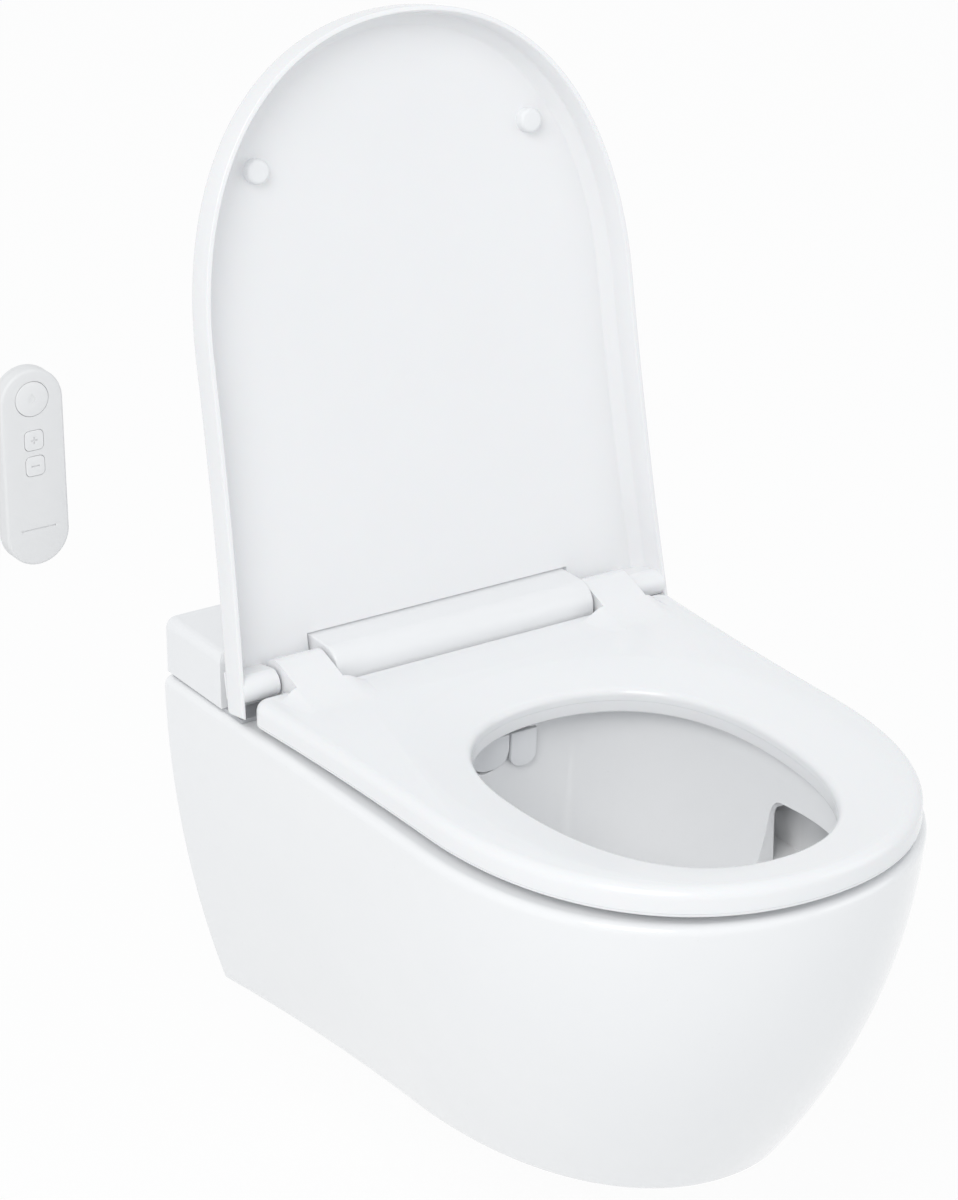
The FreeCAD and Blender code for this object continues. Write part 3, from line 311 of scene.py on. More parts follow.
# ---------------------------------------------------------------- shaders
class Value:
    """A number or socket in a shader, so that maths on it is written as Python."""

    def __init__(self, shader, socket):
        self.shader = shader
        self.socket = socket

    def maths(self, operation, *others):
        inputs = dict(enumerate([self, *others]))
        return self.shader.node("ShaderNodeMath", {"operation": operation}, inputs)

    def __add__(self, other):
        return self.maths("ADD", other)

    def __mul__(self, other):
        return self.maths("MULTIPLY", other)

    def __sub__(self, other):
        return self.maths("SUBTRACT", other)

    def __rsub__(self, other):
        return self * -1 + other

    def __gt__(self, other):
        return self.maths("GREATER_THAN", other)

    def clipped(self):
        return self.shader.node("ShaderNodeClamp", {}, {"Value": self})

    __radd__ = __add__
    __rmul__ = __mul__


class Shader:
    """One material. Every node comes from node(), which links or sets its inputs and gives its first output."""

    def __init__(self, name, library=bpy.data.materials, end="ShaderNodeOutputMaterial"):
        self.material = library.new(name)
        self.material.use_nodes = True
        self.end = end
        self.tree = self.material.node_tree
        self.tree.nodes.clear()
        self.place = self.node("ShaderNodeTexCoord", {}, {}, "Object")

    def node(self, kind, settings, inputs, output=0):
        made = self.tree.nodes.new(kind)
        for name, setting in settings.items():
            if name == "stops":
                self.ramp(made, setting)
            else:
                setattr(made, name, setting)
        for name, value in inputs.items():
            if isinstance(value, Value):
                self.tree.links.new(value.socket, made.inputs[name])
            else:
                made.inputs[name].default_value = value
        return Value(self, made.outputs[output])

    @staticmethod
    def ramp(made, stops):
        elements = made.color_ramp.elements
        while len(elements) < len(stops):
            elements.new(0.5)
        for element, (place, colour) in zip(elements, stops):
            element.position = place
            element.color = (*colour, 1)

    def noise(self, scale, detail=2.0, rough=0.5, stretch=(1, 1, 1)):
        """Cloudy variation from 0 to 1, at so many waves to the metre."""
        spread = self.node("ShaderNodeMapping", {}, {"Vector": self.place, "Scale": stretch})
        return self.node("ShaderNodeTexNoise", {}, {"Vector": spread, "Scale": scale, "Detail": detail,
                                                    "Roughness": rough})

    def grains(self, scale):
        """Distance to the nearest of scattered points."""
        return self.node("ShaderNodeTexVoronoi", {}, {"Vector": self.place, "Scale": scale}, "Distance")

    def mix(self, share, one, two):
        return self.node("ShaderNodeMix", {"data_type": "RGBA"}, {"Factor": share, 6: (*one, 1) if isinstance(
            one, tuple) else one, 7: (*two, 1) if isinstance(two, tuple) else two}, 2)

    def bump(self, height, depth, strength=1.0, under=None):
        inputs = {"Height": height, "Distance": depth, "Strength": strength}
        if under is not None:
            inputs["Normal"] = under
        return self.node("ShaderNodeBump", {}, inputs)

    def surface(self, **inputs):
        """The finish itself; underscores stand for the spaces in the names of its inputs."""
        named = {name.replace("_", " "): value for name, value in inputs.items()}
        shader = self.node("ShaderNodeBsdfPrincipled", {}, named)
        self.node_output(shader)
        return self.material

    def node_output(self, shader):
        output = self.tree.nodes.new(self.end)
        self.tree.links.new(shader.socket, output.inputs["Surface"])


def glazed_china():
    """Vitreous china: a deep glaze that pools in slow waves, with fine orange peel and rare pin specks."""
    china = Shader("glazed_china")
    slow = china.noise(9, 2)
    peel = china.noise(160, 3)
    specks = (0.035 - china.grains(70)) * 60
    tone = china.mix(slow, (0.865, 0.872, 0.885), (0.895, 0.9, 0.908))
    tone = china.mix(specks.clipped() * 0.25, tone, (0.55, 0.53, 0.5))
    waves = china.bump(slow, 0.0012, 0.25)
    return china.surface(Base_Color=tone, Roughness=peel * 0.05 + 0.05, Normal=china.bump(peel, 0.00006, 0.5, waves),
                         IOR=1.52, Coat_Weight=0.6, Coat_Roughness=0.03)


def seat_plastic():
    """Pressed thermoset: dense, glossy, with the faint flow marks of the mould."""
    plastic = Shader("seat_plastic")
    flow = plastic.noise(14, 3, 0.55, (1, 0.35, 1))
    grain = plastic.noise(420, 2)
    tone = plastic.mix(flow, (0.86, 0.866, 0.88), (0.882, 0.887, 0.898))
    return plastic.surface(Base_Color=tone, Roughness=flow * 0.05 + grain * 0.03 + 0.13,
                           Normal=plastic.bump(grain, 0.00004, 0.35, plastic.bump(flow, 0.0008, 0.2)),
                           IOR=1.5, Subsurface_Weight=0.04, Subsurface_Scale=0.004)


def cover_plastic():
    """Moulded cover: satin gloss with a very fine spark-eroded grain."""
    plastic = Shader("cover_plastic")
    cloud = plastic.noise(18, 2)
    grain = plastic.noise(1500, 2)
    tone = plastic.mix(cloud, (0.85, 0.857, 0.87), (0.872, 0.878, 0.89))
    return plastic.surface(Base_Color=tone, Roughness=grain * 0.08 + 0.2, IOR=1.49,
                           Normal=plastic.bump(grain, 0.00005, 0.4))


def matt_plastic(name, dark, light, rough=0.45, grain_depth=0.00008):
    """Moulded plastic with a fine dry texture and slight clouding."""
    plastic = Shader(name)
    cloud = plastic.noise(30, 2)
    grain = plastic.noise(2200, 3, 0.6)
    return plastic.surface(Base_Color=plastic.mix(cloud, dark, light), Roughness=grain * 0.12 + rough, IOR=1.47,
                           Normal=plastic.bump(grain, grain_depth, 0.6))


def soft_rubber(name, dark, light):
    """Moulded elastomer: dull, dusty in patches, with a pebbled skin."""
    rubber = Shader(name)
    dust = rubber.noise(60, 4, 0.6)
    pebbles = rubber.grains(1800)
    return rubber.surface(Base_Color=rubber.mix(dust, dark, light), Roughness=dust * 0.15 + 0.55,
                          Normal=rubber.bump(pebbles, 0.00006, 0.5))


def metal(name, dark, light, rough, stretch):
    """Drawn or turned metal: fine streaks one way, with tone and gloss that wander."""
    bright = Shader(name)
    streaks = bright.noise(900, 3, 0.6, stretch)
    cloud = bright.noise(45, 2)
    return bright.surface(Base_Color=bright.mix(cloud, dark, light), Metallic=1.0, Roughness=streaks * 0.12 + rough,
                          Normal=bright.bump(streaks, 0.00003, 0.5))


def circuit_board():
    """Green solder mask with a grid of copper tracks under it and bright pads."""
    board = Shader("circuit_board")
    weave = board.noise(700, 2)
    tracks = board.node("ShaderNodeTexBrick", {}, {
        "Vector": board.place, "Scale": 60.0, "Mortar Size": 0.03, "Color1": (0.03, 0.16, 0.08, 1),
        "Color2": (0.04, 0.2, 0.1, 1), "Mortar": (0.1, 0.36, 0.2, 1)})
    pads = ((0.12 - board.grains(260)) * 40).clipped()
    return board.surface(Base_Color=board.mix(pads, tracks, (0.72, 0.66, 0.5)), Metallic=pads * 0.9,
                         Roughness=weave * 0.1 + 0.3, Normal=board.bump(pads, 0.0001, 0.6))


def heater_film():
    """Amber film with a heating track that runs back and forth."""
    film = Shader("heater_film")
    track = film.node("ShaderNodeTexWave", {"wave_profile": "SIN"}, {"Vector": film.place, "Scale": 40.0,
                                                                   "Distortion": 1.5})
    line = track > 0.7
    return film.surface(Base_Color=film.mix(line, (0.72, 0.36, 0.08), (0.5, 0.5, 0.52)), Metallic=line * 0.8,
                        Roughness=film.noise(300) * 0.1 + 0.3, Normal=film.bump(line, 0.00005, 0.5))


def tube_silicone():
    """Milky hose with a dull skin."""
    tube = Shader("clear_tube")
    haze = tube.noise(120, 3)
    return tube.surface(Base_Color=tube.mix(haze, (0.66, 0.7, 0.73), (0.8, 0.83, 0.85)), Roughness=haze * 0.15 + 0.3,
                        Subsurface_Weight=0.2, Subsurface_Scale=0.003, Normal=tube.bump(haze, 0.0001, 0.4))


FINISHES = {
    "glazed_china": glazed_china(),
    "seat_plastic": seat_plastic(),
    "cover_plastic": cover_plastic(),
    "base_plastic": matt_plastic("base_plastic", (0.5, 0.51, 0.53), (0.58, 0.59, 0.61)),
    "spray_plastic": matt_plastic("spray_plastic", (0.8, 0.81, 0.83), (0.86, 0.87, 0.885), 0.18, 0.00002),
    "remote_plastic": matt_plastic("remote_plastic", (0.765, 0.768, 0.775), (0.785, 0.788, 0.794), 0.42),
    "key_plastic": matt_plastic("key_plastic", (0.79, 0.793, 0.8), (0.81, 0.813, 0.819), 0.36),
    "steel": metal("steel", (0.5, 0.51, 0.53), (0.68, 0.69, 0.7), 0.18, (0.04, 1, 1)),
    "brass": metal("brass", (0.6, 0.56, 0.47), (0.72, 0.68, 0.58), 0.2, (1, 0.05, 1)),
    "white_rubber": soft_rubber("white_rubber", (0.84, 0.85, 0.865), (0.87, 0.878, 0.89)),
    "black_rubber": soft_rubber("black_rubber", (0.02, 0.02, 0.022), (0.05, 0.05, 0.052)),
    "heater_film": heater_film(),
    "dark_plastic": matt_plastic("dark_plastic", (0.022, 0.024, 0.027), (0.04, 0.042, 0.046), 0.5),
    "circuit_board": circuit_board(),
    "clear_tube": tube_silicone(),
    "magnet": metal("magnet", (0.42, 0.42, 0.43), (0.55, 0.55, 0.56), 0.22, (1, 1, 1)),
}
SLOT_OF = {part["node"]: part["material_slot"] for part in frame["record"]["subparts"]}
BODY_OF = {node: body for body, nodes in frame["record"]["behaviour"]["bodies"].items() for node in nodes}


def dressed(piece, finish, body):
    """Gives a piece its finish and the body that it moves with."""
    piece.data.materials.clear()
    piece.data.materials.append(FINISHES[finish])
    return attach(piece, body)


def stands_for(piece, node):
    dressed(piece, SLOT_OF[node], BODY_OF[node])
    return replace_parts(piece, node)


# ---------------------------------------------------------------- the pan
UPRIGHT = Matrix.Rotation(math.pi / 2, 4, "X")
PAN_HALF_BACK = (184, 141)
PAN_HALF_FRONT = (180, 125)
PAN_SIDE = (348, 248)
PAN_REACH = (560, 462)
FOOT_RISE = 11
BOWL_MOUTH = (330, 112, 190, 124)
BOWL_FOOT = (302, 42, 54.6, 50.4)
BOWL_CURVE = 2.2
SUMP_RINGS = ((39, -125), (36, -150), (32, -163), (26, -171), (18.9, -176))
TRAP_PATH = [(0, -302, -150), (0, -225, -150), (0, -178, -58), (0, -96, -100)]
TRAP_BENDS = [26, 44, 11.4]
OUTLET_LEVEL = -100
INLET_LEVEL = 35
DUCT_PATH = [(0, -54, 24.6), (104, -112, 24.6), (142, -240, 24.6), (124, -340, 24.6)]
DUCT_BENDS = [19.6, 14.2]


def pan_ring(share, inset=0, back=0):
    """The pan's plan at a share of the way down; each pair of sizes is the rim's and the foot's."""
    taper = share ** 2
    plan = DShape(between(*PAN_HALF_BACK, taper), between(*PAN_HALF_FRONT, taper), 0,
                  between(*PAN_SIDE, share), between(*PAN_REACH, taper))
    return plan.inset(inset, back), RIM - PAN_DROP * share, share * FOOT_RISE / PAN_REACH[1]


def pan_outside():
    """The glazed outside, from the round of the rim to the round of the foot."""
    rim = [pan_ring(down / PAN_DROP, into) for into, down in arc(RIM_ROUND, 90, 0, 8)]
    wall = [pan_ring(0.04 + step * 0.038) for step in range(25)]
    foot = [pan_ring(1 - 5 * (1 - step / 8) ** 2 / PAN_DROP, 5.5 * (step / 8) ** 2) for step in range(9)]
    return lofted("pan_outside", rim + wall + foot)


def bowl_plan(level):
    """The bowl's plan at a level, from its mouth to its foot."""
    share = (max(RIM - level, 0) / (RIM - SUMP_LEVEL)) ** BOWL_CURVE
    return EggShape(*(between(mouth, foot, share) for mouth, foot in zip(BOWL_MOUTH, BOWL_FOOT)))


def bowl_space(name, top, grow=0):
    """The space in the bowl, or with grow the outside of its wall: one smooth funnel that ends in a sump."""
    levels = [top] + [level for level in range(78, SUMP_LEVEL - 1, -4) if level < top]
    rings = [(bowl_plan(level), level, 0) for level in levels]
    rings += [(EggShape(BOWL_FOOT[0], half, half * 1.25, half * 1.15), level, 0) for half, level in SUMP_RINGS]
    if grow:
        rings = [(plan.inset(-grow), level - (grow if level < SUMP_LEVEL else 0), 0) for plan, level, _ in rings]
    return lofted(name, rings)


def pipe(name, radius, corners, leads):
    """A round pipe along straight runs, bent at each corner from so far before it to so far after."""
    spots = [point(*corners[0])]
    for before, corner, after, lead in zip(corners, corners[1:], corners[2:], leads):
        into = (point(*before) - point(*corner)).normalized() * lead * MM
        away = (point(*after) - point(*corner)).normalized() * lead * MM
        spots += [bezier(step / 10, point(*corner) + into, point(*corner), point(*corner) + away)
                  for step in range(11)]
    spots.append(point(*corners[-1]))
    line = bpy.data.curves.new(name, "CURVE")
    line.dimensions = "3D"
    line.bevel_depth = radius * MM
    line.bevel_resolution = 12
    line.use_fill_caps = True
    spline = line.splines.new("POLY")
    spline.points.add(len(spots) - 1)
    for place, spot in zip(spline.points, spots):
        place.co = (*spot, 1)
    holder = bpy.data.objects.new(f"{name}_line", line)
    mesh = bpy.data.meshes.new_from_object(holder)
    bpy.data.objects.remove(holder)
    bm = bmesh.new()
    bm.from_mesh(mesh)
    bmesh.ops.remove_doubles(bm, verts=bm.verts, dist=MERGE)
    bmesh.ops.recalc_face_normals(bm, faces=bm.faces)
    return finished(name, bm)


def trap(name, radius, end):
    """From the sump up over the weir and down to the outlet, which ends so far from the wall."""
    return pipe(name, radius, TRAP_PATH + [(0, end, OUTLET_LEVEL)], TRAP_BENDS)


def duct(name, radius):
    """From the flush inlet round the right of the bowl to the pocket."""
    return pipe(name, radius, DUCT_PATH, DUCT_BENDS)


def niche(name, grow=0):
    """The pocket in front of the flush port, which turns the water along the bowl; grow gives its wall."""
    back, front, deep, end = -355 + grow, -450 - grow, 136 + grow, 94 + grow
    outer = [bezier(step / 16, Vector((deep, back)), Vector((deep, back - 32)), Vector((end + 18, front + 24)),
                    Vector((end, front))) for step in range(17)]
    plan = prism(name, [(y, -x) for x, y in outer] + [(front, -56), (back, -56)], -30, 90,
                 Matrix.Rotation(-math.pi / 2, 4, "Y"))
    top, turn = 47 + grow, 16 + grow
    corner = [bezier(step / 8, Vector((back, top - turn)), Vector((back, top)), Vector((back - turn, top)))
              for step in range(9)]
    side = prism(f"{name}_side", [tuple(spot) for spot in corner] + [(front, top + 11), (front, -4 - grow),
                                                                    (back, -4 - grow)], 0, 180)
    return carved(plan, kept(side))


def port(name, grow=0):
    """The tall slot behind the pocket, into which the flush duct opens."""
    def arch(one, two):
        return abs(one.y - two.y) > 1 and min(one.z, two.z) > 25

    return slab(name, (112 - grow, -356 - grow, -4 - grow), (136 + grow, -325 + grow, 43 + grow), [(11, arch)])


SPRAY_SLOPE = 3
SPRAY = Matrix.Translation(point(-22.5, -210, 65.5)) @ Matrix.Rotation(math.radians(SPRAY_SLOPE), 4, "X")
SHIELD_UP = 8.5
SHIELDS = {"rear": (-14, 16.5, 17, 14), "front": (15, 11, 20, 9.5)}


def on_slope(piece):
    """Puts a piece made along the arms' own line in its place."""
    piece.data.transform(SPRAY)
    return piece


def shield_plate(name, arm, start, end, grow=0, edge=0):
    """A plate in front of an arm, straight at the top and round at its lower corners."""
    def lower_corner(one, two):
        return abs(one.y - two.y) > 1 and max(one.z, two.z) < 0

    def front(one, two):
        return max(one.y, two.y) < start + 0.01

    side, half, drop, turn = SHIELDS[arm]
    rounds = [(turn + grow, lower_corner)] + ([(edge, front)] if edge else [])
    return on_slope(slab(name, (side - half - grow, start, -drop - grow), (side + half + grow, end, SHIELD_UP + grow),
                         rounds, 12))


def china_pan():
    """The whole casting: skirt, wall plate, bowl, trap, flush ways and the rooms for the wash arms."""
    hollow = lofted("hollow", [pan_ring(CHINA / PAN_DROP + step * (1 - 2 * CHINA / PAN_DROP) / 20, CHINA, -5)
                               for step in range(21)])
    plate = carved(slab("plate", (-190, -14, -38), (190, 6, 79)), kept(pan_outside()))
    channel = on_slope(slab("channel", (-23.3, -18, -7.8), (23.3, 132.3, 30)))
    steps = [less(hollow), add(plate), add(slab("bed", (-54.5, -210, 49), (9.5, -71, 79))),
             add(slab("shield_bed", (-62, -219, 39.5), (12.5, -192, 79))),
             add(bowl_space("bowl_wall", RIM - 2, CHINA)), add(trap("trap_wall", 33, -3)),
             add(barrel("outlet", 51, (0, -3, OUTLET_LEVEL), (0, -48, OUTLET_LEVEL))),
             add(barrel("inlet", 36.5, (0, 0, INLET_LEVEL), (0, -69, INLET_LEVEL))),
             add(duct("duct_wall", 20)), add(niche("niche_wall", CHINA)), add(port("port_wall", CHINA)),
             less(bowl_space("bowl", RIM + 1)), less(trap("trap_bore", 25, 1)), less(channel),
             less(barrel("outlet_bore", 43, (0, 1, OUTLET_LEVEL), (0, -36, OUTLET_LEVEL))),
             less(barrel("inlet_bore", 27.5, (0, 1, INLET_LEVEL), (0, -60, INLET_LEVEL))),
             less(duct("duct_bore", 12)), less(niche("niche")), less(port("port")),
             less(shield_plate("rear_room", "rear", -26, 0, 1)),
             less(shield_plate("front_room", "front", -26, 0, 1))]
    for side in (-1, 1):
        steps += [less(barrel("stud_hole", 10.3, (side * STUD_SIDE, 1, 0), (side * STUD_SIDE, -15, 0))),
                  less(barrel("bush_hole", 10.3, (side * BUSH_SIDE, -60, 62), (side * BUSH_SIDE, -60, 89)))]
    return carved(pan_outside(), *steps)


pan = china_pan()
pan.name = "glazed_pan"
stands_for(pan, "ceramic_pan")


# ---------------------------------------------------------------- seat
SEAT_PLAN = DShape(179.8, 172.6, 120.5, 345, 562, 12)
OPENING = EggShape(350, 105.6, 163, 128)
DISH_WIDE = 42
DISH_DEEP = 8
LIP_ROUND = 6
LIP_START = 93.15


def bevelled_rings(plan, low, high, low_round, high_round, steps=8):
    top = [(plan.inset(into, into), high - down, 0) for into, down in arc(high_round, 90, 0, steps)]
    under = [(plan.inset(into, into), low + up, 0) for into, up in arc(low_round, 90, 0, steps // 2)]
    return top + under[::-1]


def seat_opening():
    """What is cut out of the seat: a shallow dish, a rolled edge and a wall that hangs down over the rim."""
    dish = [(OPENING.inset(37.25 * step / 8 - DISH_WIDE), SEAT_TOP - DISH_DEEP * (step / 8) ** 1.15, 0)
            for step in range(9)]
    angles = [math.radians(turn) for turn in (66, 54, 42, 30, 20, 10, 0)]
    lip = [(OPENING.inset(LIP_ROUND * (math.cos(angle) - 1)), LIP_START + LIP_ROUND * math.sin(angle), 0)
           for angle in angles]
    start = (OPENING.inset(-DISH_WIDE), SEAT_TOP + 1, 0)
    foot = [(OPENING.inset(-into), LIP_LEVEL + up, 0) for into, up in arc(1.5, 0, 90, 3)]
    return lofted("opening", [start] + dish + lip + foot + [(OPENING.inset(-1.5), LIP_LEVEL - 1, 0)])


RAMP = [Vector((112, 123.97)), Vector((134, 117.5)), Vector((150, 107.4)), Vector((178, SEAT_TOP - 0.6))]
KNUCKLE_SPAN = (113, 151)
RAMP_INNER = 88
RAMP_WIDE = 80


def knuckle(side):
    """A round knuckle on the hinge line that runs down into the top of the seat in one curve."""
    angles = [math.radians(turn) for turn in range(-90, 106, 5)]
    turned = [(-HINGE_OUT + KNUCKLE * math.cos(angle), HINGE_LEVEL + KNUCKLE * math.sin(angle)) for angle in angles]
    slope = [bezier(step / 10, *RAMP) for step in range(1, 11)]
    corners = turned + [(-out, level) for out, level in slope] + [(-178, SEAT_TOP - 7), (-126, SEAT_UNDER + 6)]
    low, high = sorted(side * end for end in KNUCKLE_SPAN)
    return prism("knuckle", corners, low, high)


class RampSection:
    """The section across a knuckle's ramp: full height behind the knuckle, fading out beside it."""

    def __init__(self, side, height):
        self.sizes = (side, height)

    def spot(self, turn):
        side, height = self.sizes
        if turn > 0.75:
            return Vector((side * (RAMP_INNER + 4 * (turn - 0.75) * RAMP_WIDE), 100))
        across = RAMP_INNER + RAMP_WIDE * (1 - turn / 0.75)
        share = max(0, min((across - 90) / 23, (167 - across) / 16, 1))
        return Vector((side * across, SEAT_TOP - 0.6 + height * share * share * (3 - 2 * share)))


def ramp(side):
    """The swelling in the seat's top that leads up to a knuckle."""
    sections = []
    for step in range(13):
        out, level = bezier(0.42 + 0.58 * step / 12, *RAMP)
        sections.append((RampSection(side, max(level - SEAT_TOP + 0.6, 0.001)), out, 0))
    piece = lofted("ramp", sections)
    piece.data.transform(Matrix.Rotation(math.pi / 2, 4, "X"))
    return piece


def seat_ring(*more):
    """The whole seat's body, cut for the hinge cover and the opening."""
    ring = lofted("ring", bevelled_rings(SEAT_PLAN, SEAT_UNDER, SEAT_TOP, 2.4, 8))
    return carved(ring, less(slab("hinge_room", (-152, -131, 80), (152, 0, 120))), *more, less(seat_opening()))


def seat_upper():
    """The upper shell, hollow under the dish, with its knuckles on the hinge line."""
    inner = [(OPENING.inset(-DISH_WIDE), 110, 0), (OPENING.inset(-DISH_WIDE), SEAT_TOP - 2.5, 0),
             (OPENING.inset(-4.5), 96.4, 0), (OPENING.inset(-4.5), 80, 0)]
    room = carved(lofted("room", [(SEAT_PLAN.inset(5.2, 13), level, 0) for level in (SEAT_TOP - 2.5, 89)]),
                  less(lofted("room_egg", inner)))
    top = carved(seat_ring(), kept(slab("above", (-200, -600, SEAT_SPLIT), (200, 0, 130))), less(room),
                 add(knuckle(-1)), add(knuckle(1)), add(ramp(-1)), add(ramp(1)),
                 less(barrel("hinge_bore", HINGE_BORE, on_hinge(-200), on_hinge(200))))
    top.name = "seat_upper"
    return top


def seat_lower():
    """The lower shell, with the lip that hangs down inside the pan's rim."""
    hanging = lofted("hanging_lip", [(OPENING.inset(-6), 89, 0), (OPENING.inset(-6), LIP_LEVEL + 0.5, 0),
                                     (OPENING.inset(-5.5), LIP_LEVEL, 0)])
    base = carved(seat_ring(add(hanging)), kept(slab("below", (-200, -600, 70), (200, 0, SEAT_SPLIT - 0.15))))
    base.name = "seat_lower"
    return base


stands_for(seat_upper(), "seat_top_shell")
stands_for(seat_lower(), "seat_base_shell")


# ---------------------------------------------------------------- lid
LID_TOP = 129
LID_RIM = 100.2
LID_PLAN = DShape(185.7, 178.5, 88, 345, 567.9, 3)
LID_ROOM = DShape(186.9, 178.5, 88, 345, 567.9)
LID_CEILING = 125.5
LID_STEPS = ((15.5, 125.5), (14.6, 125.3), (13.8, 124.7), (7, 118.6), (6.3, 117.6), (6, 116))
RAISED = (Matrix.Translation(point(0, -HINGE_OUT, HINGE_LEVEL)) @ Matrix.Rotation(math.radians(-LID_TURN), 4, "X")
          @ Matrix.Translation(point(0, HINGE_OUT, -HINGE_LEVEL)))


def raised_lid():
    """The lid, made as it lies shut and then raised: a skin, a rim wall and its two hinge arms."""
    shell = lofted("lid_raised", bevelled_rings(LID_PLAN, LID_RIM, LID_TOP, 0.9, 10))
    hollow = [(LID_ROOM.inset(inset, -5), level, 0) for inset, level in LID_STEPS]
    hollow += [(LID_ROOM.inset(4 - into, -5), LID_RIM + 0.9 - up, 0) for into, up in ((0, 0), (0.3, 0.5), (0.9, 0.9))]
    hollow.append((LID_ROOM.inset(3.1, -5), LID_RIM - 2, 0))
    steps = [less(lofted("lid_hollow", hollow)), less(slab("notch", (-113, -131.5, 90), (113, -60, 140)))]
    for side in (-1, 1):
        low, high = sorted((side * 153, side * 182.7))
        steps += [add(barrel("hub", 10, on_hinge(low), on_hinge(high))),
                  add(slab("web", (low, -HINGE_OUT - 10, HINGE_LEVEL), (high, -HINGE_OUT + 10, 127.25))),
                  less(barrel("lid_bore", HINGE_BORE, on_hinge(side * 150), on_hinge(side * 179.7)))]
    shell = carved(shell, *steps)
    shell.data.transform(RAISED)
    return shell


def lid_pads():
    """Soft pads with rounded ends that meet the seat when the lid is shut."""
    pads = []
    for side in (-1, 1):
        rings = [(Disc(PAD_RADIUS - 0.1, 0), LID_CEILING + 0.1, 0)]
        rings += [(Disc(PAD_RADIUS - into, 0), LID_CEILING - PAD_TALL + up, 0) for into, up in arc(3, 0, 90, 6)]
        pad = lofted("lid_pads", rings, 64)
        pad.data.transform(RAISED @ Matrix.Translation(point(side * PAD_SIDE, -PAD_OUT, 0)))
        pads.append(pad)
    return carved(pads[0], add(pads[1]))


stands_for(raised_lid(), "lid_shell")
stands_for(lid_pads(), "lid_bumpers")


# ---------------------------------------------------------------- covers
BAR = (111, 128, 128)
HOUSING = (181, 80, 126)
COVER_FOOT = 83.4
COVER_WALL = 2.5


def top_front(one, two):
    """An edge along the front of the top."""
    return min(one.z, two.z) > 100 and max(one.y, two.y) < -100


def bar_cover():
    """The raised hinge cover between the seat's knuckles: a thin shell, round along its front."""
    def ends(one, two):
        return abs(one.x - two.x) < 1 and max(one.y, two.y) > -200 and min(one.z, two.z) < 200 and (
            abs(one.y - two.y) > 1 or abs(one.z - two.z) > 1) and max(one.z, two.z) > 90

    half, reach, top = BAR
    skin = slab("bar_cover", (-half, -reach, COVER_FOOT), (half, -80.4, top), [(16, top_front), (1.6, ends)], 12)
    room = slab("bar_room", (COVER_WALL - half, COVER_WALL - reach, 82), (half - COVER_WALL, -79, top - COVER_WALL),
                [(16 - COVER_WALL, top_front)], 12)
    return carved(skin, less(room), less(barrel("bar_window", 5.4, on_hinge(-222), on_hinge(222))))


def housing_cover():
    """The flat cover on the back of the pan, open below, with windows for the supply and the cable gland."""
    def above(one, two):
        return min(one.z, two.z) > 120 and min(one.y, two.y) < -1

    half, reach, top = HOUSING
    skin = slab("housing_skin", (-half, -reach, COVER_FOOT), (half, 0, top), [(8, above)], 10)
    room = slab("housing_room", (COVER_WALL - half, COVER_WALL - reach, 82),
                (half - COVER_WALL, -COVER_WALL, top - COVER_WALL), [(8 - COVER_WALL, above)], 8)
    return carved(skin, less(room), less(barrel("water_window", 15, (148, 10, 104), (148, -10, 104))),
                  less(barrel("power_window", 8.4, (-145, 10, 104), (-145, -10, 104))))


stands_for(bar_cover(), "hinge_bar_cover")
stands_for(housing_cover(), "housing_cover")


# ---------------------------------------------------------------- spray shields
for arm in ("rear", "front"):
    stands_for(shield_plate(f"{arm}_shield", arm, -3.3, -0.3, 0, 0.8), f"{arm}_wash_shield")


# ---------------------------------------------------------------- remote control
REMOTE = Matrix.Translation(point(-288.5, 0, 273)) @ UPRIGHT
SHELL_WALL = 1.6
REMOTE_PLAN = Stadium(24.2, 73)
FACE = 19
KEY_UNDER = 14.4
KEY_TOP = FACE + 0.4
SPRAY_UP = 51.4
PLUS_UP = 20.8
MINUS_UP = 1.7
GROOVE_UP = -45.4


def upright(piece):
    """Stands a piece up against the wall: its levels become distances out from the wall."""
    piece.data.transform(REMOTE)
    return piece


def key_block(name, half, up, low, high, corner, soft=0.35):
    def sides(one, two):
        return abs(one.z - two.z) > 0.1
    def rim(one, two):
        return min(one.z, two.z) > high - 0.01
    return slab(name, (-half, up - half, low), (half, up + half, high), [(corner, sides), (soft, rim)], 6)


def round_key(name, radius, up, low, high):
    return lofted(name, [(Disc(radius - into, up), high - down, 0) for into, down in arc(0.35, 90, 0, 3)]
                  + [(Disc(radius, up), low, 0)], 96)


def remote_front():
    """The front shell, with the holes of the keys and the sunk line below them."""
    shell = lofted("remote_front", [(REMOTE_PLAN.inset(into), FACE - down, 0) for into, down in arc(2.2, 90, 0, 7)]
                   + [(REMOTE_PLAN, 9.35, 0)])
    room = lofted("front_room", [(REMOTE_PLAN.inset(SHELL_WALL), level, 0) for level in (FACE - SHELL_WALL, 9)])
    low, high = FACE - 0.7, FACE + 1
    shell = carved(shell, less(room), less(round_key("round_hole", 12.95, SPRAY_UP, 10, 22)),
                   less(key_block("plus_hole", 7.55, PLUS_UP, 10, 22, 3.85)),
                   less(key_block("minus_hole", 7.55, MINUS_UP, 10, 22, 3.85)),
                   less(slab("groove", (-13.5, GROOVE_UP - 0.5, low), (13.5, GROOVE_UP + 0.5, high))),
                   less(barrel("groove_end", 1.1, (-12.4, GROOVE_UP, low), (-12.4, GROOVE_UP, high))))
    return upright(shell)


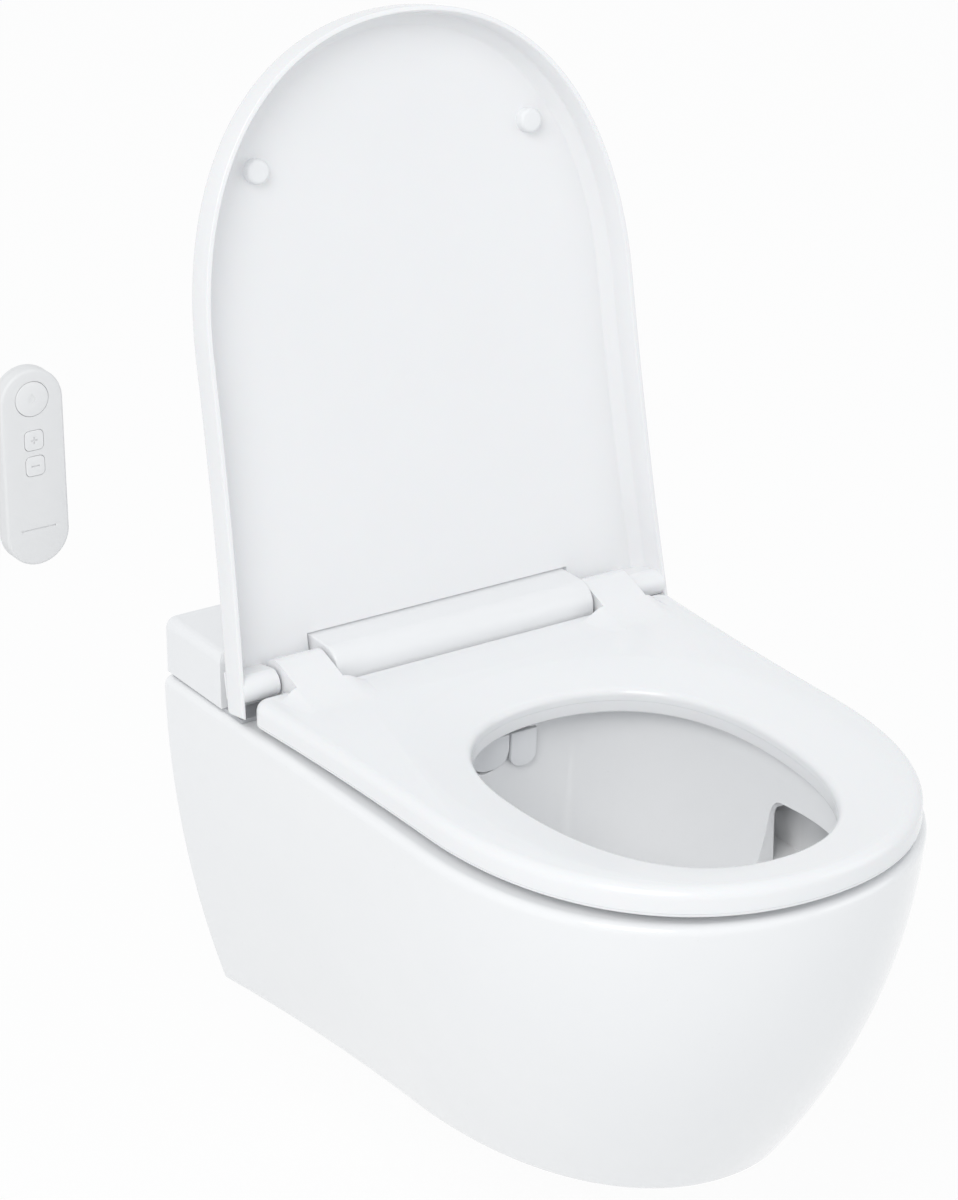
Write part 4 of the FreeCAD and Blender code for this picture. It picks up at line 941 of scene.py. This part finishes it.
def remote_back():
    """The back shell, with the four posts that carry the board."""
    shell = lofted("remote_back", [(REMOTE_PLAN, 9.2, 0)]
                   + [(REMOTE_PLAN.inset(into), 4.4 + down, 0) for into, down in arc(2.2, 0, 90, 7)])
    room = lofted("back_room", [(REMOTE_PLAN.inset(SHELL_WALL), level, 0) for level in (10, 6)])
    posts = [add(barrel("post", 1.75, (x * 12.1, z * 48.8, 5.8), (x * 12.1, z * 48.8, 9.6)))
             for x in (-1, 1) for z in (-1, 1)]
    return upright(carved(shell, less(room), *posts))


def bar_mark(up, half, half_tall):
    """A sunk bar, of which the plus and minus signs are made."""
    return less(slab("mark", (-half, up - half_tall, FACE - 0.5), (half, up + half_tall, FACE + 2)))


def drop_mark(up):
    """A sunk drop, the sign for the spray."""
    return less(lofted("drop", [(Drop(2.6, up), level, 0) for level in (FACE + 2, FACE - 0.3)], 48))


stands_for(remote_front(), "remote_front_shell")
stands_for(remote_back(), "remote_back_shell")
spray_cap = carved(round_key("spray_cap", 12.6, SPRAY_UP, KEY_UNDER, KEY_TOP), drop_mark(SPRAY_UP - 0.4))
plus_cap = carved(key_block("plus_cap", 7.2, PLUS_UP, KEY_UNDER, KEY_TOP, 3.5), bar_mark(PLUS_UP, 2.6, 0.6),
                  bar_mark(PLUS_UP, 0.6, 2.6))
minus_cap = carved(key_block("minus_cap", 7.2, MINUS_UP, KEY_UNDER, KEY_TOP, 3.5), bar_mark(MINUS_UP, 3.2, 0.6))
for cap, node in ((spray_cap, "spray_button"), (plus_cap, "plus_button"), (minus_cap, "minus_button")):
    stands_for(upright(cap), node)


# ---------------------------------------------------------------- pieces kept from the CAD model
def merged(node):
    """A copy of a CAD piece with its facets joined, so that its rounds are shaded smooth."""
    bm = bmesh.new()
    bm.from_mesh(frame["nodes"][node].data)
    return finished(f"{node}_smooth", bm)


for node in sorted(SLOT_OF):
    if not frame["nodes"][node].hide_render:
        stands_for(merged(node), node)


# ---------------------------------------------------------------- floor, light and camera
FLOOR_LEVEL = -0.33
FLOOR_WHITE = 0.93


def seen(shader):
    """1 for what the camera sees: straight, by reflection or through glass."""
    rays = [shader.node("ShaderNodeLightPath", {}, {}, kind)
            for kind in ("Is Camera Ray", "Is Glossy Ray", "Is Transmission Ray")]
    return (rays[0] + rays[1] + rays[2]).clipped()


def floor():
    """A wide studio floor that looks white and still takes the object's shadow."""
    bm = bmesh.new()
    bmesh.ops.create_grid(bm, x_segments=1, y_segments=1, size=12)
    bmesh.ops.translate(bm, verts=bm.verts, vec=(0, 0, FLOOR_LEVEL))
    plane = finished("studio_floor", bm)
    pale = Shader("studio_floor")
    tone = pale.mix(pale.noise(3), (0.88, 0.88, 0.88), (0.9, 0.9, 0.9))
    paint = pale.node("ShaderNodeBsdfPrincipled", {}, {"Base Color": tone, "Roughness": 0.9})
    white = pale.node("ShaderNodeEmission", {}, {"Color": (1, 1, 1, 1), "Strength": 1.0})
    pale.node_output(pale.node("ShaderNodeMixShader", {}, {0: seen(pale) * FLOOR_WHITE, 1: paint, 2: white}))
    plane.data.materials.append(pale.material)


def lamp(name, place, target, size, watts, colour=(1, 1, 1)):
    light = bpy.data.lights.new(name, "AREA")
    light.shape = "DISK"
    light.size = size
    light.energy = watts
    light.color = colour
    holder = bpy.data.objects.new(name, light)
    bpy.context.scene.collection.objects.link(holder)
    holder.location = place
    holder.rotation_euler = (Vector(target) - Vector(place)).to_track_quat("-Z", "Y").to_euler()


def sky(level, colour):
    """Even light from all round, which itself looks white."""
    air = Shader("studio", bpy.data.worlds, "ShaderNodeOutputWorld")
    tone = air.mix(seen(air), tuple(level * part for part in colour), (1.0, 1.0, 1.0))
    air.node_output(air.node("ShaderNodeBackground", {}, {"Color": tone}))
    bpy.context.scene.world = air.material


def camera():
    """The photograph's own view, turned and placed as the outlines fit it."""
    lens = bpy.data.cameras.new("photo_view")
    lens.lens = 36 * 4050.2 / 1200
    lens.shift_x = -60 / 1200
    lens.shift_y = 80 / 1200
    lens.clip_end = 50
    view = bpy.data.objects.new("photo_view", lens)
    bpy.context.scene.collection.objects.link(view)
    view.location = point(-1452.5, -2415.6, 1310.5)
    view.rotation_euler = (math.radians(90 - 24.441), 0, math.radians(-33.502))
    bpy.context.scene.camera = view


floor()
sky(0.72, (0.955, 0.98, 1.0))
lamp("key", (-2.2, -1.8, 2.6), (0, -0.3, 0.1), 2.2, 50, (1, 0.985, 0.965))
lamp("fill", (2.6, -2.4, 1.2), (0, -0.3, 0.1), 2.5, 11)
camera()
bpy.context.scene.view_settings.view_transform = "Standard"
